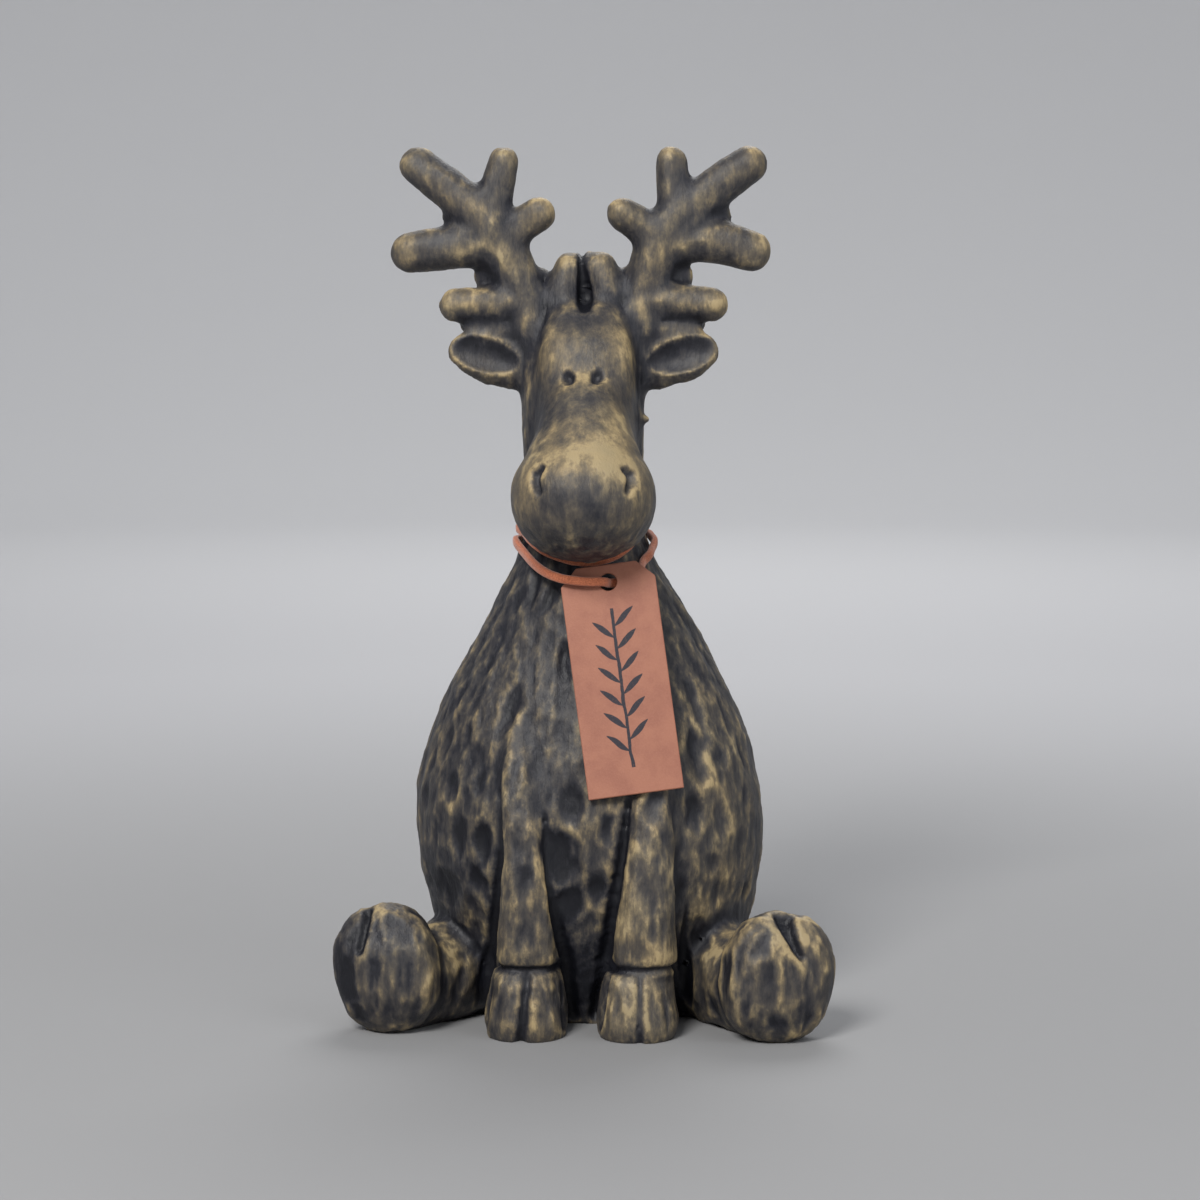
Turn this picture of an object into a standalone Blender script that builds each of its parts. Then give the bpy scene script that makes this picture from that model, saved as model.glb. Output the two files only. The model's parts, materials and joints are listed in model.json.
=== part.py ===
"""A seated reindeer figurine, cast in one piece with a hand-carved look, with a leather tag on a suede lace.

The reindeer faces -Y and stands on z = 0. Its own proportions are written in modules: one module is
1/280 of its height. The lace and the tag have sizes of their own, in metres.
"""

import math
import random

import bmesh
import bpy
import numpy as np
from mathutils import Matrix, Vector, noise
from mathutils.bvhtree import BVHTree
from mathutils.kdtree import KDTree

# Driving dimensions, in metres
FIGURE_HEIGHT = 0.280
LACE_DIAMETER = 0.0029
LACE_CLEARANCE = 0.0005
LACE_SPACING = 0.0048
LACE_SPACING_AT_TAG = 0.0016
KNOT_SIZE = (0.0046, 0.0032, 0.0040)
KNOT_GAP = 0.0004
TAG_WIDTH = 0.0300
TAG_LENGTH = 0.0730
TAG_THICKNESS = 0.0018
TAG_CORNER = 0.0056
TAG_HOLE_RADIUS = 0.0028
TAG_HOLE_DROP = 0.0056
TAG_CLEARANCE = 0.0005

# Fineness of the solids
MODULES_TALL = 280
MODULE = FIGURE_HEIGHT / MODULES_TALL
VOXEL = 1.5
FIGURE_TRIANGLES = 7400
RIDGE_ANGLE = 30
UNEVEN_SOLE = 0.12
SHORTEST_EDGE = 0.00003
SEED = 7

# The head's middle line stands a little left of the body's, as in the carved original
HEAD_X = -0.9


def smooth_rows(rows, step):
    """Rows of (position, value, value, ...) filled in about every step, along a smooth curve."""
    rows = np.array(rows, float)
    at = rows[:, 0]
    slopes = np.gradient(rows, at, axis=0)
    wanted = np.linspace(at[0], at[-1], max(2, round((at[-1] - at[0]) / step) + 1))
    i = np.clip(np.searchsorted(at, wanted, side="right") - 1, 0, len(at) - 2)
    gap = (at[i + 1] - at[i])[:, None]
    u = (wanted - at[i])[:, None] / gap
    v = 1 - u
    near = (1 + 2 * u) * v * v * rows[i] + u * v * v * gap * slopes[i]
    far = (1 + 2 * v) * u * u * rows[i + 1] - u * u * v * gap * slopes[i + 1]
    return near + far


def skin(bm, rings):
    """A closed skin over rings of points that all have the same count."""
    loops = [[bm.verts.new(p) for p in ring] for ring in rings]
    faces = []
    for low, high in zip(loops, loops[1:]):
        for k in range(len(low)):
            m = (k + 1) % len(low)
            faces.append(bm.faces.new((low[k], low[m], high[m], high[k])))
    faces.append(bm.faces.new(loops[0][::-1]))
    faces.append(bm.faces.new(loops[-1]))
    bmesh.ops.recalc_face_normals(bm, faces=faces)


def squircle(angle, power):
    """A point of the unit superellipse: power 2 is a circle, and more is squarer."""
    c, s = math.cos(angle), math.sin(angle)
    return (
        math.copysign(abs(c) ** (2 / power), c),
        math.copysign(abs(s) ** (2 / power), s),
    )


def stack(bm, slices, power=2.0, step=3.0, sides=40):
    """A form stacked from level slices (z, middle x, half width, front y, back y)."""
    rings = []
    for z, x, half, front, back in smooth_rows(slices, step):
        middle, depth = (front + back) / 2, (back - front) / 2
        half, depth = max(half, 0.3), max(depth, 0.3)
        ring = []
        for k in range(sides):
            c, s = squircle(2 * math.pi * k / sides, power)
            ring.append((x + half * c, middle + depth * s, z))
        rings.append(ring)
    skin(bm, rings)


def limb(bm, path, flat=(0, 1, 0), step=2.0, sides=20, power=2.0):
    """A round-ended limb along path rows (x, y, z, half width, half thickness); flat is the thickness axis."""
    path = np.array(path, float)
    along = np.concatenate([[0], np.cumsum(np.linalg.norm(np.diff(path[:, :3], axis=0), axis=1))])
    rows = smooth_rows(np.column_stack([along, path]), step)[:, 1:]
    centres, widths, depths = rows[:, :3], rows[:, 3], rows[:, 4]
    tangents = np.gradient(centres, axis=0)
    tangents /= np.linalg.norm(tangents, axis=1)[:, None]
    cuts = [(centres[0], tangents[0], widths[0], depths[0], -a) for a in (85, 65, 45, 22)]
    cuts += [(c, t, w, d, 0) for c, t, w, d in zip(centres, tangents, widths, depths)]
    cuts += [(centres[-1], tangents[-1], widths[-1], depths[-1], a) for a in (22, 45, 65, 85)]
    rings = []
    for centre, tangent, width, depth, cap in cuts:
        up = np.array(flat, float) - np.dot(flat, tangent) * tangent
        up /= np.linalg.norm(up)
        side = np.cross(tangent, up)
        reach, shrink = math.sin(math.radians(cap)), math.cos(math.radians(cap))
        middle = centre + tangent * reach * (width + depth) / 2
        ring = []
        for k in range(sides):
            c, s = squircle(2 * math.pi * k / sides, power)
            ring.append(middle + side * width * shrink * c + up * depth * shrink * s)
        rings.append(ring)
    skin(bm, rings)


def egg(bm, centre, radii, turn=(0, 0, 0), power=2.0, sides=32):
    """A rounded form with three radii, turned by three angles in degrees, and squarer above power 2."""
    spin = Matrix.Rotation(math.radians(turn[2]), 3, "Z")
    spin = spin @ Matrix.Rotation(math.radians(turn[1]), 3, "Y")
    spin = spin @ Matrix.Rotation(math.radians(turn[0]), 3, "X")
    rings = []
    for j in range(1, sides // 2):
        out, up = squircle(math.pi * j / (sides // 2) - math.pi / 2, power)
        ring = []
        for k in range(sides):
            c, s = squircle(2 * math.pi * k / sides, power)
            p = Vector((radii[0] * out * c, radii[1] * out * s, radii[2] * up))
            ring.append(Vector(centre) + spin @ p)
        rings.append(ring)
    skin(bm, rings)


def add_body(bm):
    """The pear-shaped body, from the seat up to the neck."""
    stack(bm, [
        (-5, 1.2, 41.0, -21.0, 45.0),
        (0, 1.2, 45.0, -24.5, 48.5),
        (10, 1.3, 48.5, -29.0, 52.0),
        (20, 1.5, 50.5, -33.5, 54.0),
        (33, 1.6, 53.6, -38.5, 55.0),
        (48, 1.1, 56.5, -42.0, 54.5),
        (60, 1.0, 57.2, -43.0, 53.0),
        (75, 0.5, 56.1, -42.0, 50.5),
        (90, 0.5, 52.2, -38.5, 47.0),
        (105, 0.3, 46.4, -33.5, 42.5),
        (120, 0.6, 38.2, -28.0, 37.0),
        (135, 0.3, 30.1, -23.5, 31.0),
        (150, -0.3, 21.9, -19.0, 24.0),
        (155, -0.6, 19.8, -17.0, 22.0),
        (161, -0.9, 18.7, -14.0, 20.5),
        (178, -1.1, 18.9, -12.0, 19.5),
    ], sides=56)


def add_head(bm):
    """The back of the head, the narrower face in front of it, and the muzzle."""
    x = HEAD_X
    stack(bm, [
        (160, x - 0.1, 17.5, -12.0, 19.0),
        (176, x - 0.2, 19.2, -12.0, 19.5),
        (190, x - 0.3, 19.8, -12.5, 19.5),
        (204, x, 19.9, -12.0, 19.5),
        (213, x, 19.0, -10.5, 18.5),
        (220, x, 16.8, -7.5, 15.5),
        (224.5, x, 12.0, -4.0, 11.0),
        (226, x, 6.0, 0.0, 6.0),
    ], power=2.5, step=2.0)
    stack(bm, [
        (170, x + 1.0, 19.0, -36.0, 0.0),
        (179, x + 1.0, 17.8, -31.0, 0.0),
        (188, x + 1.2, 16.2, -25.6, 0.0),
        (198, x + 1.4, 15.4, -22.0, 2.0),
        (208, x + 1.4, 15.4, -19.6, 2.0),
        (216, x + 1.4, 14.9, -17.2, 2.0),
        (220.5, x + 1.2, 13.6, -14.6, 2.0),
        (224, x + 0.9, 12.6, -10.6, 2.0),
        (227.5, x + 0.6, 11.2, -7.4, 2.0),
        (230, x + 0.4, 8.6, -4.8, 2.0),
    ], power=2.5, step=1.5)
    limb(bm, [(x + 1.3, -11, 202, 12.6, 11.0), (x + 1.3, -20, 190, 15.2, 14.5), (x + 1.2, -29, 179, 19.5, 17.0)])
    egg(bm, (x + 1.2, -32.0, 169.6), (23.1, 23.0, 19.9), turn=(-12, 0, 0), power=2.1)
    egg(bm, (HEAD_X + 19.6, -3, 192.9), (2.4, 2.0, 1.7))


def add_tuft(bm):
    """Two thick locks of hair between the antlers, parted in the middle, with lower hair behind them."""
    limb(bm, [(-7.4, 2, 223, 6.4, 5.5), (-7.6, 2.5, 232, 6.4, 5.5), (-5.0, 3.5, 241.2, 5.6, 5.0)])
    limb(bm, [(7.0, 2, 223, 6.4, 5.5), (7.2, 2.5, 232, 6.4, 5.5), (4.2, 3.5, 241.4, 5.6, 5.0)])
    limb(bm, [(-0.3, 7, 220, 9, 5.0), (-0.3, 7, 241.0, 7.5, 4.5)])


# Antlers: every row is a limb of (x, y, z, radius) stations, root first
LEFT_ANTLER = (
    ((-14.0, 2, 212, 6.0), (-17.6, 2, 222, 6.8), (-21.5, 3, 235.5, 6.8), (-26.3, 3, 247, 7.1), (-31.7, 3, 256, 7.2),
     (-37.5, 3, 261, 6.6)),
    ((-36.2, 3, 259.5, 6.5), (-46.2, 4, 268, 6.2), (-54.5, 5, 274.3, 5.7)),
    ((-31.1, 3, 258, 6.0), (-28.8, 3, 267.2, 5.3), (-26.7, 3, 275.4, 4.5)),
    ((-25.3, 3, 250.5, 6.1), (-19.4, 2, 255.7, 5.3), (-14.9, 1, 258.6, 5.1)),
    ((-31.7, 3, 249.4, 6.8), (-43.3, 3, 247.8, 6.8), (-57.0, 3, 246.2, 6.2)),
    ((-18.8, 2, 230.8, 5.8), (-30.4, 1, 229.5, 5.3), (-42.5, 1, 229.5, 5.1)),
)
RIGHT_ANTLER = (
    ((13.0, 2, 212, 6.0), (16.6, 2, 222, 6.8), (19.1, 3, 235.5, 6.7), (22.6, 3, 246.3, 7.1), (27.7, 3, 255.2, 7.3),
     (33.1, 3, 260.3, 6.6)),
    ((32.5, 3, 259.2, 6.5), (43.0, 4, 268.1, 6.2), (52.2, 5, 274.4, 5.7)),
    ((29.9, 3, 258, 6.1), (28.0, 3, 266.8, 5.3), (27.3, 3, 275.4, 4.6)),
    ((22.0, 3, 250.6, 6.1), (16.2, 2, 255.7, 5.3), (11.4, 1, 258.6, 5.1)),
    ((30.0, 3, 250, 6.8), (41.5, 3, 249.6, 6.6), (53.0, 3, 246.5, 6.1)),
    ((17.2, 2, 230.8, 5.8), (29.4, 1, 230.5, 5.3), (40.5, 1, 229.6, 5.1)),
)
ANTLER_FLATNESS = 0.88
# What the gouges take off the antlers again
ANTLER_SWELL = 0.6

# Webs that fill the crotches of the antlers, set back: two stations of (x, z, radius) each
WEBS = (
    ((-37.8, 264.6, 4.8), (-34.5, 259, 4.8)),
    ((-24.0, 255.4, 4.4), (-26.4, 250.7, 4.4)),
    ((-43.4, 258.4, 4.2), (-37.7, 254.5, 4.4)),
    ((-33.3, 238.2, 4.8), (-24.9, 238.8, 6.0)),
    ((-15.8, 238.2, 4.6), (-13.6, 229, 4.6)),
    ((-38.6, 223.4, 3.4), (-20.0, 220.5, 5.0)),
    ((37.0, 264.6, 4.8), (33.8, 259, 4.8)),
    ((20.9, 255.6, 4.4), (23.5, 250.7, 4.4)),
    ((43.3, 258.4, 4.2), (37.6, 254.5, 4.4)),
    ((31.3, 238.0, 4.8), (23.5, 238.8, 6.0)),
    ((13.2, 238.2, 4.6), (11.3, 229, 4.6)),
    ((35.6, 223.4, 3.4), (18.8, 220.5, 5.0)),
)
WEB_THICKNESS = 2.4
WEB_Y = 5.5
# Folds between each lowest tine and the ear: root and tip as (distance from the middle line, y, z, radius)
EAR_FOLD = ((19.0, -1.2, 221.8, 2.3), (37.0, 0.6, 221.4, 1.8))


def add_antlers(bm):
    for antler in (LEFT_ANTLER, RIGHT_ANTLER):
        for tine in antler:
            fuller = [(x, y, z, r + ANTLER_SWELL) for x, y, z, r in tine]
            limb(bm, [(x, y, z, r, r * ANTLER_FLATNESS) for x, y, z, r in fuller])
    for web in WEBS:
        limb(bm, [(x, WEB_Y, z, r, WEB_THICKNESS) for x, z, r in web], step=1.0)
    for side in (-1, 1):
        limb(bm, [(HEAD_X + side * x, y, z, r, r) for x, y, z, r in EAR_FOLD], step=1.0)


# Ears: root to tip as (distance from the head's middle line, y, z, half height)
EAR = ((14.0, 3, 209.0, 6.5), (20.0, 2, 209.8, 8.0), (28.0, 1, 212.0, 8.8), (35.0, 0, 213.6, 7.6), (39.2, 0, 215.2, 5.6))
EAR_THICKNESS = 0.56


def add_ears(bm):
    for side in (-1, 1):
        limb(bm, [(HEAD_X + side * x, y, z, r, r * EAR_THICKNESS) for x, y, z, r in EAR])


# Forelegs: (x, y, z, half width, half depth) from the shoulder down to just above the hoof
FORELEGS = (
    ((-20.0, -24, 98, 5.0, 8.0), (-19.4, -31, 78, 7.2, 10.5), (-18.0, -35.5, 60, 8.2, 11.0),
     (-17.2, -37.5, 44, 9.4, 11.0), (-17.0, -38, 26, 10.6, 11.0)),
    ((22.4, -24, 98, 5.0, 8.0), (21.9, -31, 78, 7.4, 10.5), (21.0, -35.5, 60, 8.4, 11.0),
     (20.4, -37.5, 44, 9.4, 11.0), (19.8, -38, 26, 10.6, 11.0)),
)
# Front hooves: (middle x, half width at the ground line)
HOOVES = ((-17.5, 13.1), (17.6, 12.9))
# Each level of a hoof: (z, how much narrower on each side than at the ground line, front y, back y)
HOOF_LEVELS = (
    (-4, 2.6, -47.0, -26.0), (0, 0.9, -50.4, -24.0), (4, -0.2, -51.8, -23.0), (9, 0.2, -51.6, -23.0),
    (15, 1.1, -50.4, -24.0), (19, 1.8, -49.2, -25.0), (21.4, 2.8, -47.5, -27.0),
)
SQUARER = 2.3
ANKLE = 22.4


def add_forelegs(bm):
    for leg in FORELEGS:
        limb(bm, leg, power=2.8)
    for x, half in HOOVES:
        levels = [(z, x, half - narrower, front, back) for z, narrower, front, back in HOOF_LEVELS]
        stack(bm, levels, power=SQUARER, step=1.5)


# Hind feet: centre, radii and turn of each egg-shaped foot, then its leg from the hip
FEET = (
    ((-62.0, -34.0, 20.2), (17.8, 12.8, 20.8), (-4, -13, -14)),
    ((61.4, -42.0, 20.2), (18.8, 13.0, 21.0), (-4, 12, 12)),
)
HIND_LEGS = (
    ((-28, 14, 20, 17, 22), (-42, -10, 15.5, 15.5, 18.5), (-56, -29, 13.5, 12.5, 15.0)),
    ((30, 14, 20, 17, 22), (42, -12, 15.5, 15.5, 18.5), (56, -36, 13.5, 12.5, 15.0)),
)


def add_hind_legs(bm):
    for (centre, radii, turn), leg in zip(FEET, HIND_LEGS):
        egg(bm, centre, radii, turn, power=SQUARER)
        limb(bm, leg, flat=(0, 0, 1))


def add_tail(bm):
    limb(bm, [(1, 44, 24, 5.5, 5.5), (1, 50.5, 20, 5.0, 4.5), (1, 52.0, 12, 3.2, 3.0)])


def evaluated_copy(obj):
    """The mesh that obj's modifiers make, as a new mesh."""
    graph = bpy.context.evaluated_depsgraph_get()
    return bpy.data.meshes.new_from_object(obj.evaluated_get(graph))


def keep_outer_skin(mesh):
    """Fills the hollows that fused forms close in, by dropping every skin but the largest."""
    bm = bmesh.new()
    bm.from_mesh(mesh)
    seen = set()
    skins = []
    for first in bm.verts:
        if first in seen:
            continue
        seen.add(first)
        found = [first]
        for vertex in found:
            for edge in vertex.link_edges:
                other = edge.other_vert(vertex)
                if other not in seen:
                    seen.add(other)
                    found.append(other)
        skins.append(found)
    skins.sort(key=len)
    for hollow in skins[:-1]:
        bmesh.ops.delete(bm, geom=hollow, context="VERTS")
    bm.to_mesh(mesh)
    bm.free()


def rough_figure():
    """All the forms fused into one closed skin, in modules, cut flat at the ground."""
    bm = bmesh.new()
    for add in (add_body, add_head, add_tuft, add_antlers, add_ears, add_forelegs, add_hind_legs, add_tail):
        add(bm)
    forms = bpy.data.meshes.new("forms")
    bm.to_mesh(forms)
    bm.free()
    helper = bpy.data.objects.new("forms", forms)
    bpy.context.scene.collection.objects.link(helper)
    fuse = helper.modifiers.new("fuse", "REMESH")
    fuse.mode = "VOXEL"
    fuse.voxel_size = VOXEL
    mesh = evaluated_copy(helper)
    bpy.data.objects.remove(helper)
    keep_outer_skin(mesh)
    return mesh


class Surface:
    """The figure's points and faces as arrays, with what the sculpting steps need."""

    def __init__(self, mesh):
        self.mesh = mesh
        self.points = np.empty(len(mesh.vertices) * 3)
        mesh.vertices.foreach_get("co", self.points)
        self.points = self.points.reshape(-1, 3)
        edges = np.empty(len(mesh.edges) * 2, np.int32)
        mesh.edges.foreach_get("vertices", edges)
        self.edges = edges.reshape(-1, 2)
        mesh.calc_loop_triangles()
        faces = np.empty(len(mesh.loop_triangles) * 3, np.int32)
        mesh.loop_triangles.foreach_get("vertices", faces)
        self.faces = faces.reshape(-1, 3)
        self.count = np.bincount(self.edges.ravel(), minlength=len(self.points))

    def average(self, values):
        """Each point's mean over its neighbours."""
        a, b = self.edges.T
        total = np.empty_like(values)
        for k in range(values.shape[1]):
            total[:, k] = np.bincount(a, values[b, k], len(values))
            total[:, k] += np.bincount(b, values[a, k], len(values))
        return total / self.count[:, None]

    def normals(self):
        a, b, c = (self.points[self.faces[:, k]] for k in range(3))
        cross = np.cross(b - a, c - a)
        total = np.zeros_like(self.points)
        for corner in range(3):
            for k in range(3):
                total[:, k] += np.bincount(self.faces[:, corner], cross[:, k], len(total))
        return total / np.maximum(np.linalg.norm(total, axis=1), 1e-12)[:, None]

    def relax(self, rounds):
        for _ in range(rounds):
            self.points += 0.5 * (self.average(self.points) - self.points)

    def fill_creases(self, rounds, share):
        """Rounds out the inner corners between forms, and leaves what bulges alone."""
        for _ in range(rounds):
            normals = self.normals()
            rise = ((self.average(self.points) - self.points) * normals).sum(1)
            self.points += normals * (0.7 * share * np.maximum(rise, 0))[:, None]

    def tree(self):
        return BVHTree.FromPolygons(self.points.tolist(), self.faces.tolist())

    def store(self):
        self.mesh.vertices.foreach_set("co", self.points.ravel())
        self.mesh.update()


def soft_step(value, low, high):
    """0 below low, 1 above high, and smooth between them."""
    u = np.clip((value - low) / (high - low), 0, 1)
    return u * u * (3 - 2 * u)


def fold_share(points):
    """How much of each inner corner is rounded out: most of it from the neck to the brow, and little elsewhere."""
    rise = soft_step(points[:, 2], 95, 135) - 0.6 * soft_step(points[:, 2], 205, 218)
    return 0.1 + 0.8 * rise


def smoothed(surface, values, rounds):
    for _ in range(rounds):
        values = surface.average(values)
    return values


def rounds_for(spread):
    """How many rounds of averaging spread a value over about so many modules."""
    return round((spread / (0.6 * VOXEL)) ** 2)


# How far the outlines of the scoops stray, and over what length, and how far their ridges are softened, in modules
SCOOP_WANDER = 1.5
SCOOP_WANDER_PITCH = 6.0
SCOOP_SOFTNESS = 0.6


class Scoops:
    """Gouge marks. Where scoops overlap, the deeper one counts, which leaves ridges between them."""

    def __init__(self, surface):
        self.surface = surface
        self.normals = surface.normals()
        self.tree = surface.tree()
        self.finder = KDTree(len(surface.points))
        for k, p in enumerate(surface.points):
            self.finder.insert(p, k)
        self.finder.balance()
        self.depth = np.zeros(len(surface.points))
        wander = [noise.noise_vector(p) for p in (surface.points / SCOOP_WANDER_PITCH).tolist()]
        self.wander = np.array(wander) * SCOOP_WANDER
        self.dice = random.Random(SEED)

    def cut(self, place, normal, along, half_length, half_width, depth):
        """One scoop, deepest towards its upper end."""
        across = normal.cross(along).normalized()
        found = self.finder.find_range(place, 1.1 * max(half_length, half_width))
        near = np.array([k for _, k, _ in found], int)
        near = near[self.normals[near] @ np.array(normal) > 0.25]
        offset = self.surface.points[near] + self.wander[near] - np.array(place)
        u = offset @ np.array(along) / half_length
        v = offset @ np.array(across) / half_width
        bowl = (1 - u * u - v * v) * (1 + 0.35 * u)
        self.depth[near] = np.maximum(self.depth[near], depth * bowl)

    def shoot(self, start, direction, reach, grain, half_length, width, depth, share=None):
        """A scoop where the ray from start leaves the figure, running along grain."""
        tilt = self.dice.uniform(-0.16, 0.16)
        size = self.dice.uniform(0.82, 1.18)
        wide = self.dice.uniform(0.85, 1.15)
        deep = self.dice.uniform(0.65, 1.2)
        direction = Vector(direction).normalized()
        far = Vector(start) + direction * reach
        place, normal, _, _ = self.tree.ray_cast(far, -direction, reach)
        if place is None or normal.dot(direction) < 0.15:
            return
        along = Vector(grain) - normal * normal.dot(Vector(grain))
        if along.length < 0.2:
            return
        along.normalize()
        along = (along + tilt * normal.cross(along)).normalized()
        if share:
            deep *= share(place, normal)
        self.cut(place, normal, along, half_length * size, width * wide, depth * deep)

    def around(self, axis, pitch, count, half_length, fill, depth, reach, share=None):
        """Rows of scoops round an axis of (x, y, z, radius) stations; their width follows the radius."""
        stations = np.array(axis, float)
        steps = np.linalg.norm(np.diff(stations[:, :3], axis=0), axis=1)
        along = np.concatenate([[0], np.cumsum(steps)])
        rows = max(1, round(along[-1] / pitch))
        for row in range(rows):
            for k in range(count):
                s = (row + 0.5 + (k % 2) * 0.5 + self.dice.uniform(-0.22, 0.22)) * along[-1] / rows
                turn = 2 * math.pi * (k + self.dice.uniform(-0.2, 0.2)) / count
                at = [np.interp(s, along, stations[:, j]) for j in range(4)]
                ahead = [np.interp(s + 1, along, stations[:, j]) for j in range(3)]
                back = [np.interp(s - 1, along, stations[:, j]) for j in range(3)]
                grain = (Vector(ahead) - Vector(back)).normalized()
                side = grain.orthogonal().normalized()
                out = side * math.cos(turn) + grain.cross(side) * math.sin(turn)
                upward = grain if grain.z >= 0 else -grain
                width = fill * math.pi * at[3] / count
                self.shoot(at[:3], out, at[3] * reach, upward, half_length, width, depth, share)

    def on_front(self, x, z, half_width, half_length, lean, depth):
        """A scoop on the front at x and z, whose upper end leans by so many degrees."""
        place, normal, _, _ = self.tree.ray_cast(Vector((x, -MODULES_TALL, z)), Vector((0, 1, 0)))
        if place is None:
            return
        grain = Vector((math.sin(math.radians(lean)), 0, math.cos(math.radians(lean))))
        along = (grain - normal * normal.dot(grain)).normalized()
        self.cut(place, normal, along, half_length, half_width, depth)


# Axes for the gouge marks: (x, y, z, radius) stations
BODY_AXIS = ((1, 6, 8, 48), (1, 6, 50, 53), (1, 5, 85, 49), (0, 5, 110, 40), (0, 4, 130, 30), (0, 3, 150, 22))
HEAD_AXIS = ((HEAD_X, -2, 152, 21), (HEAD_X, -2, 178, 20), (HEAD_X, -1, 222, 19))
SNOUT_AXIS = ((HEAD_X, -6, 205, 17), (HEAD_X, -26, 180, 19), (HEAD_X, -36, 160, 20))

# Scoops on the front of the body and legs: (x, z, half width, half length, lean in degrees, depth)
FRONT_SCOOPS = (
    (-24, 101, 2.6, 9, 8, 1.9), (-22, 81, 2.3, 8, 6, 1.2), (-43, 75, 2.9, 6, 0, 1.6), (-33, 78, 3.4, 6, 5, 1.2),
    (-40, 61, 3.6, 7, 8, 1.7), (-32, 59, 3.8, 7, -3, 2.4), (-52, 72, 2.2, 6, 0, 1.1), (-45, 89, 2.8, 6, 8, 1.4),
    (-40, 106, 2.4, 7, 15, 1.2), (-38, 91, 2.2, 6, 8, 1.1), (-44, 43, 6.0, 6, -10, 2.0), (-33, 46, 3.6, 6, -25, 1.9),
    (-35, 103, 2.0, 7, 14, 1.0), (-32, 113, 2.2, 8, 16, 1.0), (-28, 121, 2.0, 8, 15, 0.9), (-22, 120, 2.4, 9, 10, 0.8),
    (-17, 111, 2.8, 9, 6, 0.9), (-17, 97, 2.8, 8, 4, 0.9), (-15, 85, 2.8, 7, 3, 0.9), (-50, 82, 2.0, 6, 5, 1.0),
    (-48, 59, 2.2, 6, 0, 1.0), (-6, 116, 2.3, 7, -3, 1.7), (-7, 106, 2.8, 7, 0, 0.9), (-7, 92, 3.3, 8, 0, 1.1),
    (-5, 82, 2.8, 6, 0, 0.8), (-3, 74, 3.9, 7, -5, 2.0), (-5, 56, 4.9, 9, -12, 2.4), (-3, 42, 4.0, 6, 0, 1.7),
    (5, 46, 3.7, 6, 8, 1.9), (8, 65, 3.1, 5.5, -3, 1.5), (-19, 65, 3.0, 7, 0, 1.0), (-18, 50, 3.2, 7, 0, 0.9),
    (-13, 39, 2.6, 6, 0, 0.8), (-22, 37, 2.4, 6, 0, 0.8), (-17, 140, 2.4, 9, 8, 1.7), (-11, 136, 2.2, 8, 25, 1.5),
    (-25, 139, 2.0, 8, 18, 0.9), (-29, 130, 2.0, 8, 22, 0.9), (-22, 134, 2.2, 8, 14, 0.9), (-15, 127, 2.4, 8, 8, 0.9),
    (36, 103, 2.3, 9, -10, 1.6), (37, 87, 3.4, 8.5, -8, 2.2), (36, 69, 3.6, 7, -3, 1.8), (44, 66, 3.4, 6.5, -3, 1.3),
    (22, 73, 3.1, 6, 5, 1.6), (44, 84, 3.1, 7, -8, 1.0), (29, 104, 2.8, 9, -4, 1.0), (52, 40, 2.0, 4, 5, 1.5),
    (41, 53, 3.8, 4, 0, 1.2), (25, 58, 2.9, 6, 0, 0.9), (31, 44, 2.9, 6, 0, 0.9), (21, 46, 2.9, 7, 0, 0.9),
    (52, 70, 2.4, 7, 0, 1.0), (46, 97, 2.2, 8, -12, 0.9), (42, 112, 2.0, 9, -18, 0.9), (32, 129, 2.0, 8, -18, 0.9),
    (37, 120, 2.0, 8, -20, 0.9), (43, 42, 3.4, 5, 0, 1.0), (51, 86, 2.2, 6, -5, 1.0), (29, 71, 2.8, 7, 0, 0.9),
    (49, 55, 2.6, 5, 0, 0.9), (29, 88, 2.4, 8, -2, 0.9), (26, 120, 2.2, 8, -14, 0.9), (22, 33, 2.6, 6, 0, 0.7),
    (15, 112, 2.8, 8, 0, 0.9), (6, 104, 2.8, 8, 0, 0.9), (18, 96, 2.8, 8, 0, 0.9), (7, 88, 2.8, 8, 0, 0.9),
)
# Scoops on the soles of the hind feet, the thighs and the hooves
FOOT_SCOOPS = (
    (-65, 31, 3.4, 7, -14, 1.0), (-57, 33, 3.6, 7, -30, 1.0), (-63, 19, 4.6, 8, -6, 0.9), (-55, 20, 4.2, 8, -14, 1.0),
    (-60, 8, 4.6, 6, -6, 0.7), (-52, 9, 2.8, 6, -6, 0.7), (-72, 30, 2.4, 8, 10, 1.4), (-74, 16, 3.0, 9, -12, 1.5),
    (-70, 6, 3.0, 6, -20, 1.2), (56, 31, 3.4, 7, 12, 0.9), (58, 18, 4.6, 9, 4, 1.1), (66, 20, 4.0, 9, -6, 1.0),
    (72, 26, 3.0, 8, -16, 1.0), (52, 14, 3.0, 8, 8, 0.8), (61, 6, 3.2, 5, -4, 1.1), (70, 9, 3.0, 6, -10, 0.8),
    (49, 26, 2.4, 8, 12, 0.9), (-40, 27, 6.0, 7, 14, 1.0), (-33, 29, 3.6, 6, -30, 1.0), (-40, 11, 3.0, 8, 24, 1.2),
    (-33, 10, 2.6, 8, 10, 1.2), (37, 27, 4.2, 6, -16, 1.1), (44, 20, 3.4, 9, -14, 1.4), (36, 13, 3.6, 9, -20, 1.5),
    (42, 6, 3.0, 6, -24, 1.2), (-22, 11, 2.6, 8, 3, 0.6), (-11, 11, 2.8, 8, -3, 0.7), (-26, 9, 2.0, 7, 6, 0.6),
    (12, 11, 2.8, 8, 2, 0.6), (23, 11, 2.8, 8, -2, 0.7), (27, 9, 2.0, 7, -6, 0.6), (8, 9, 2.0, 7, 5, 0.6),
)


# The placed scoops are this much wider and longer than the marks that they leave
SCOOP_SPREAD = 1.4
SCOOP_DEPTH = 1.15
FRONT_SHARE = 0.6


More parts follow.
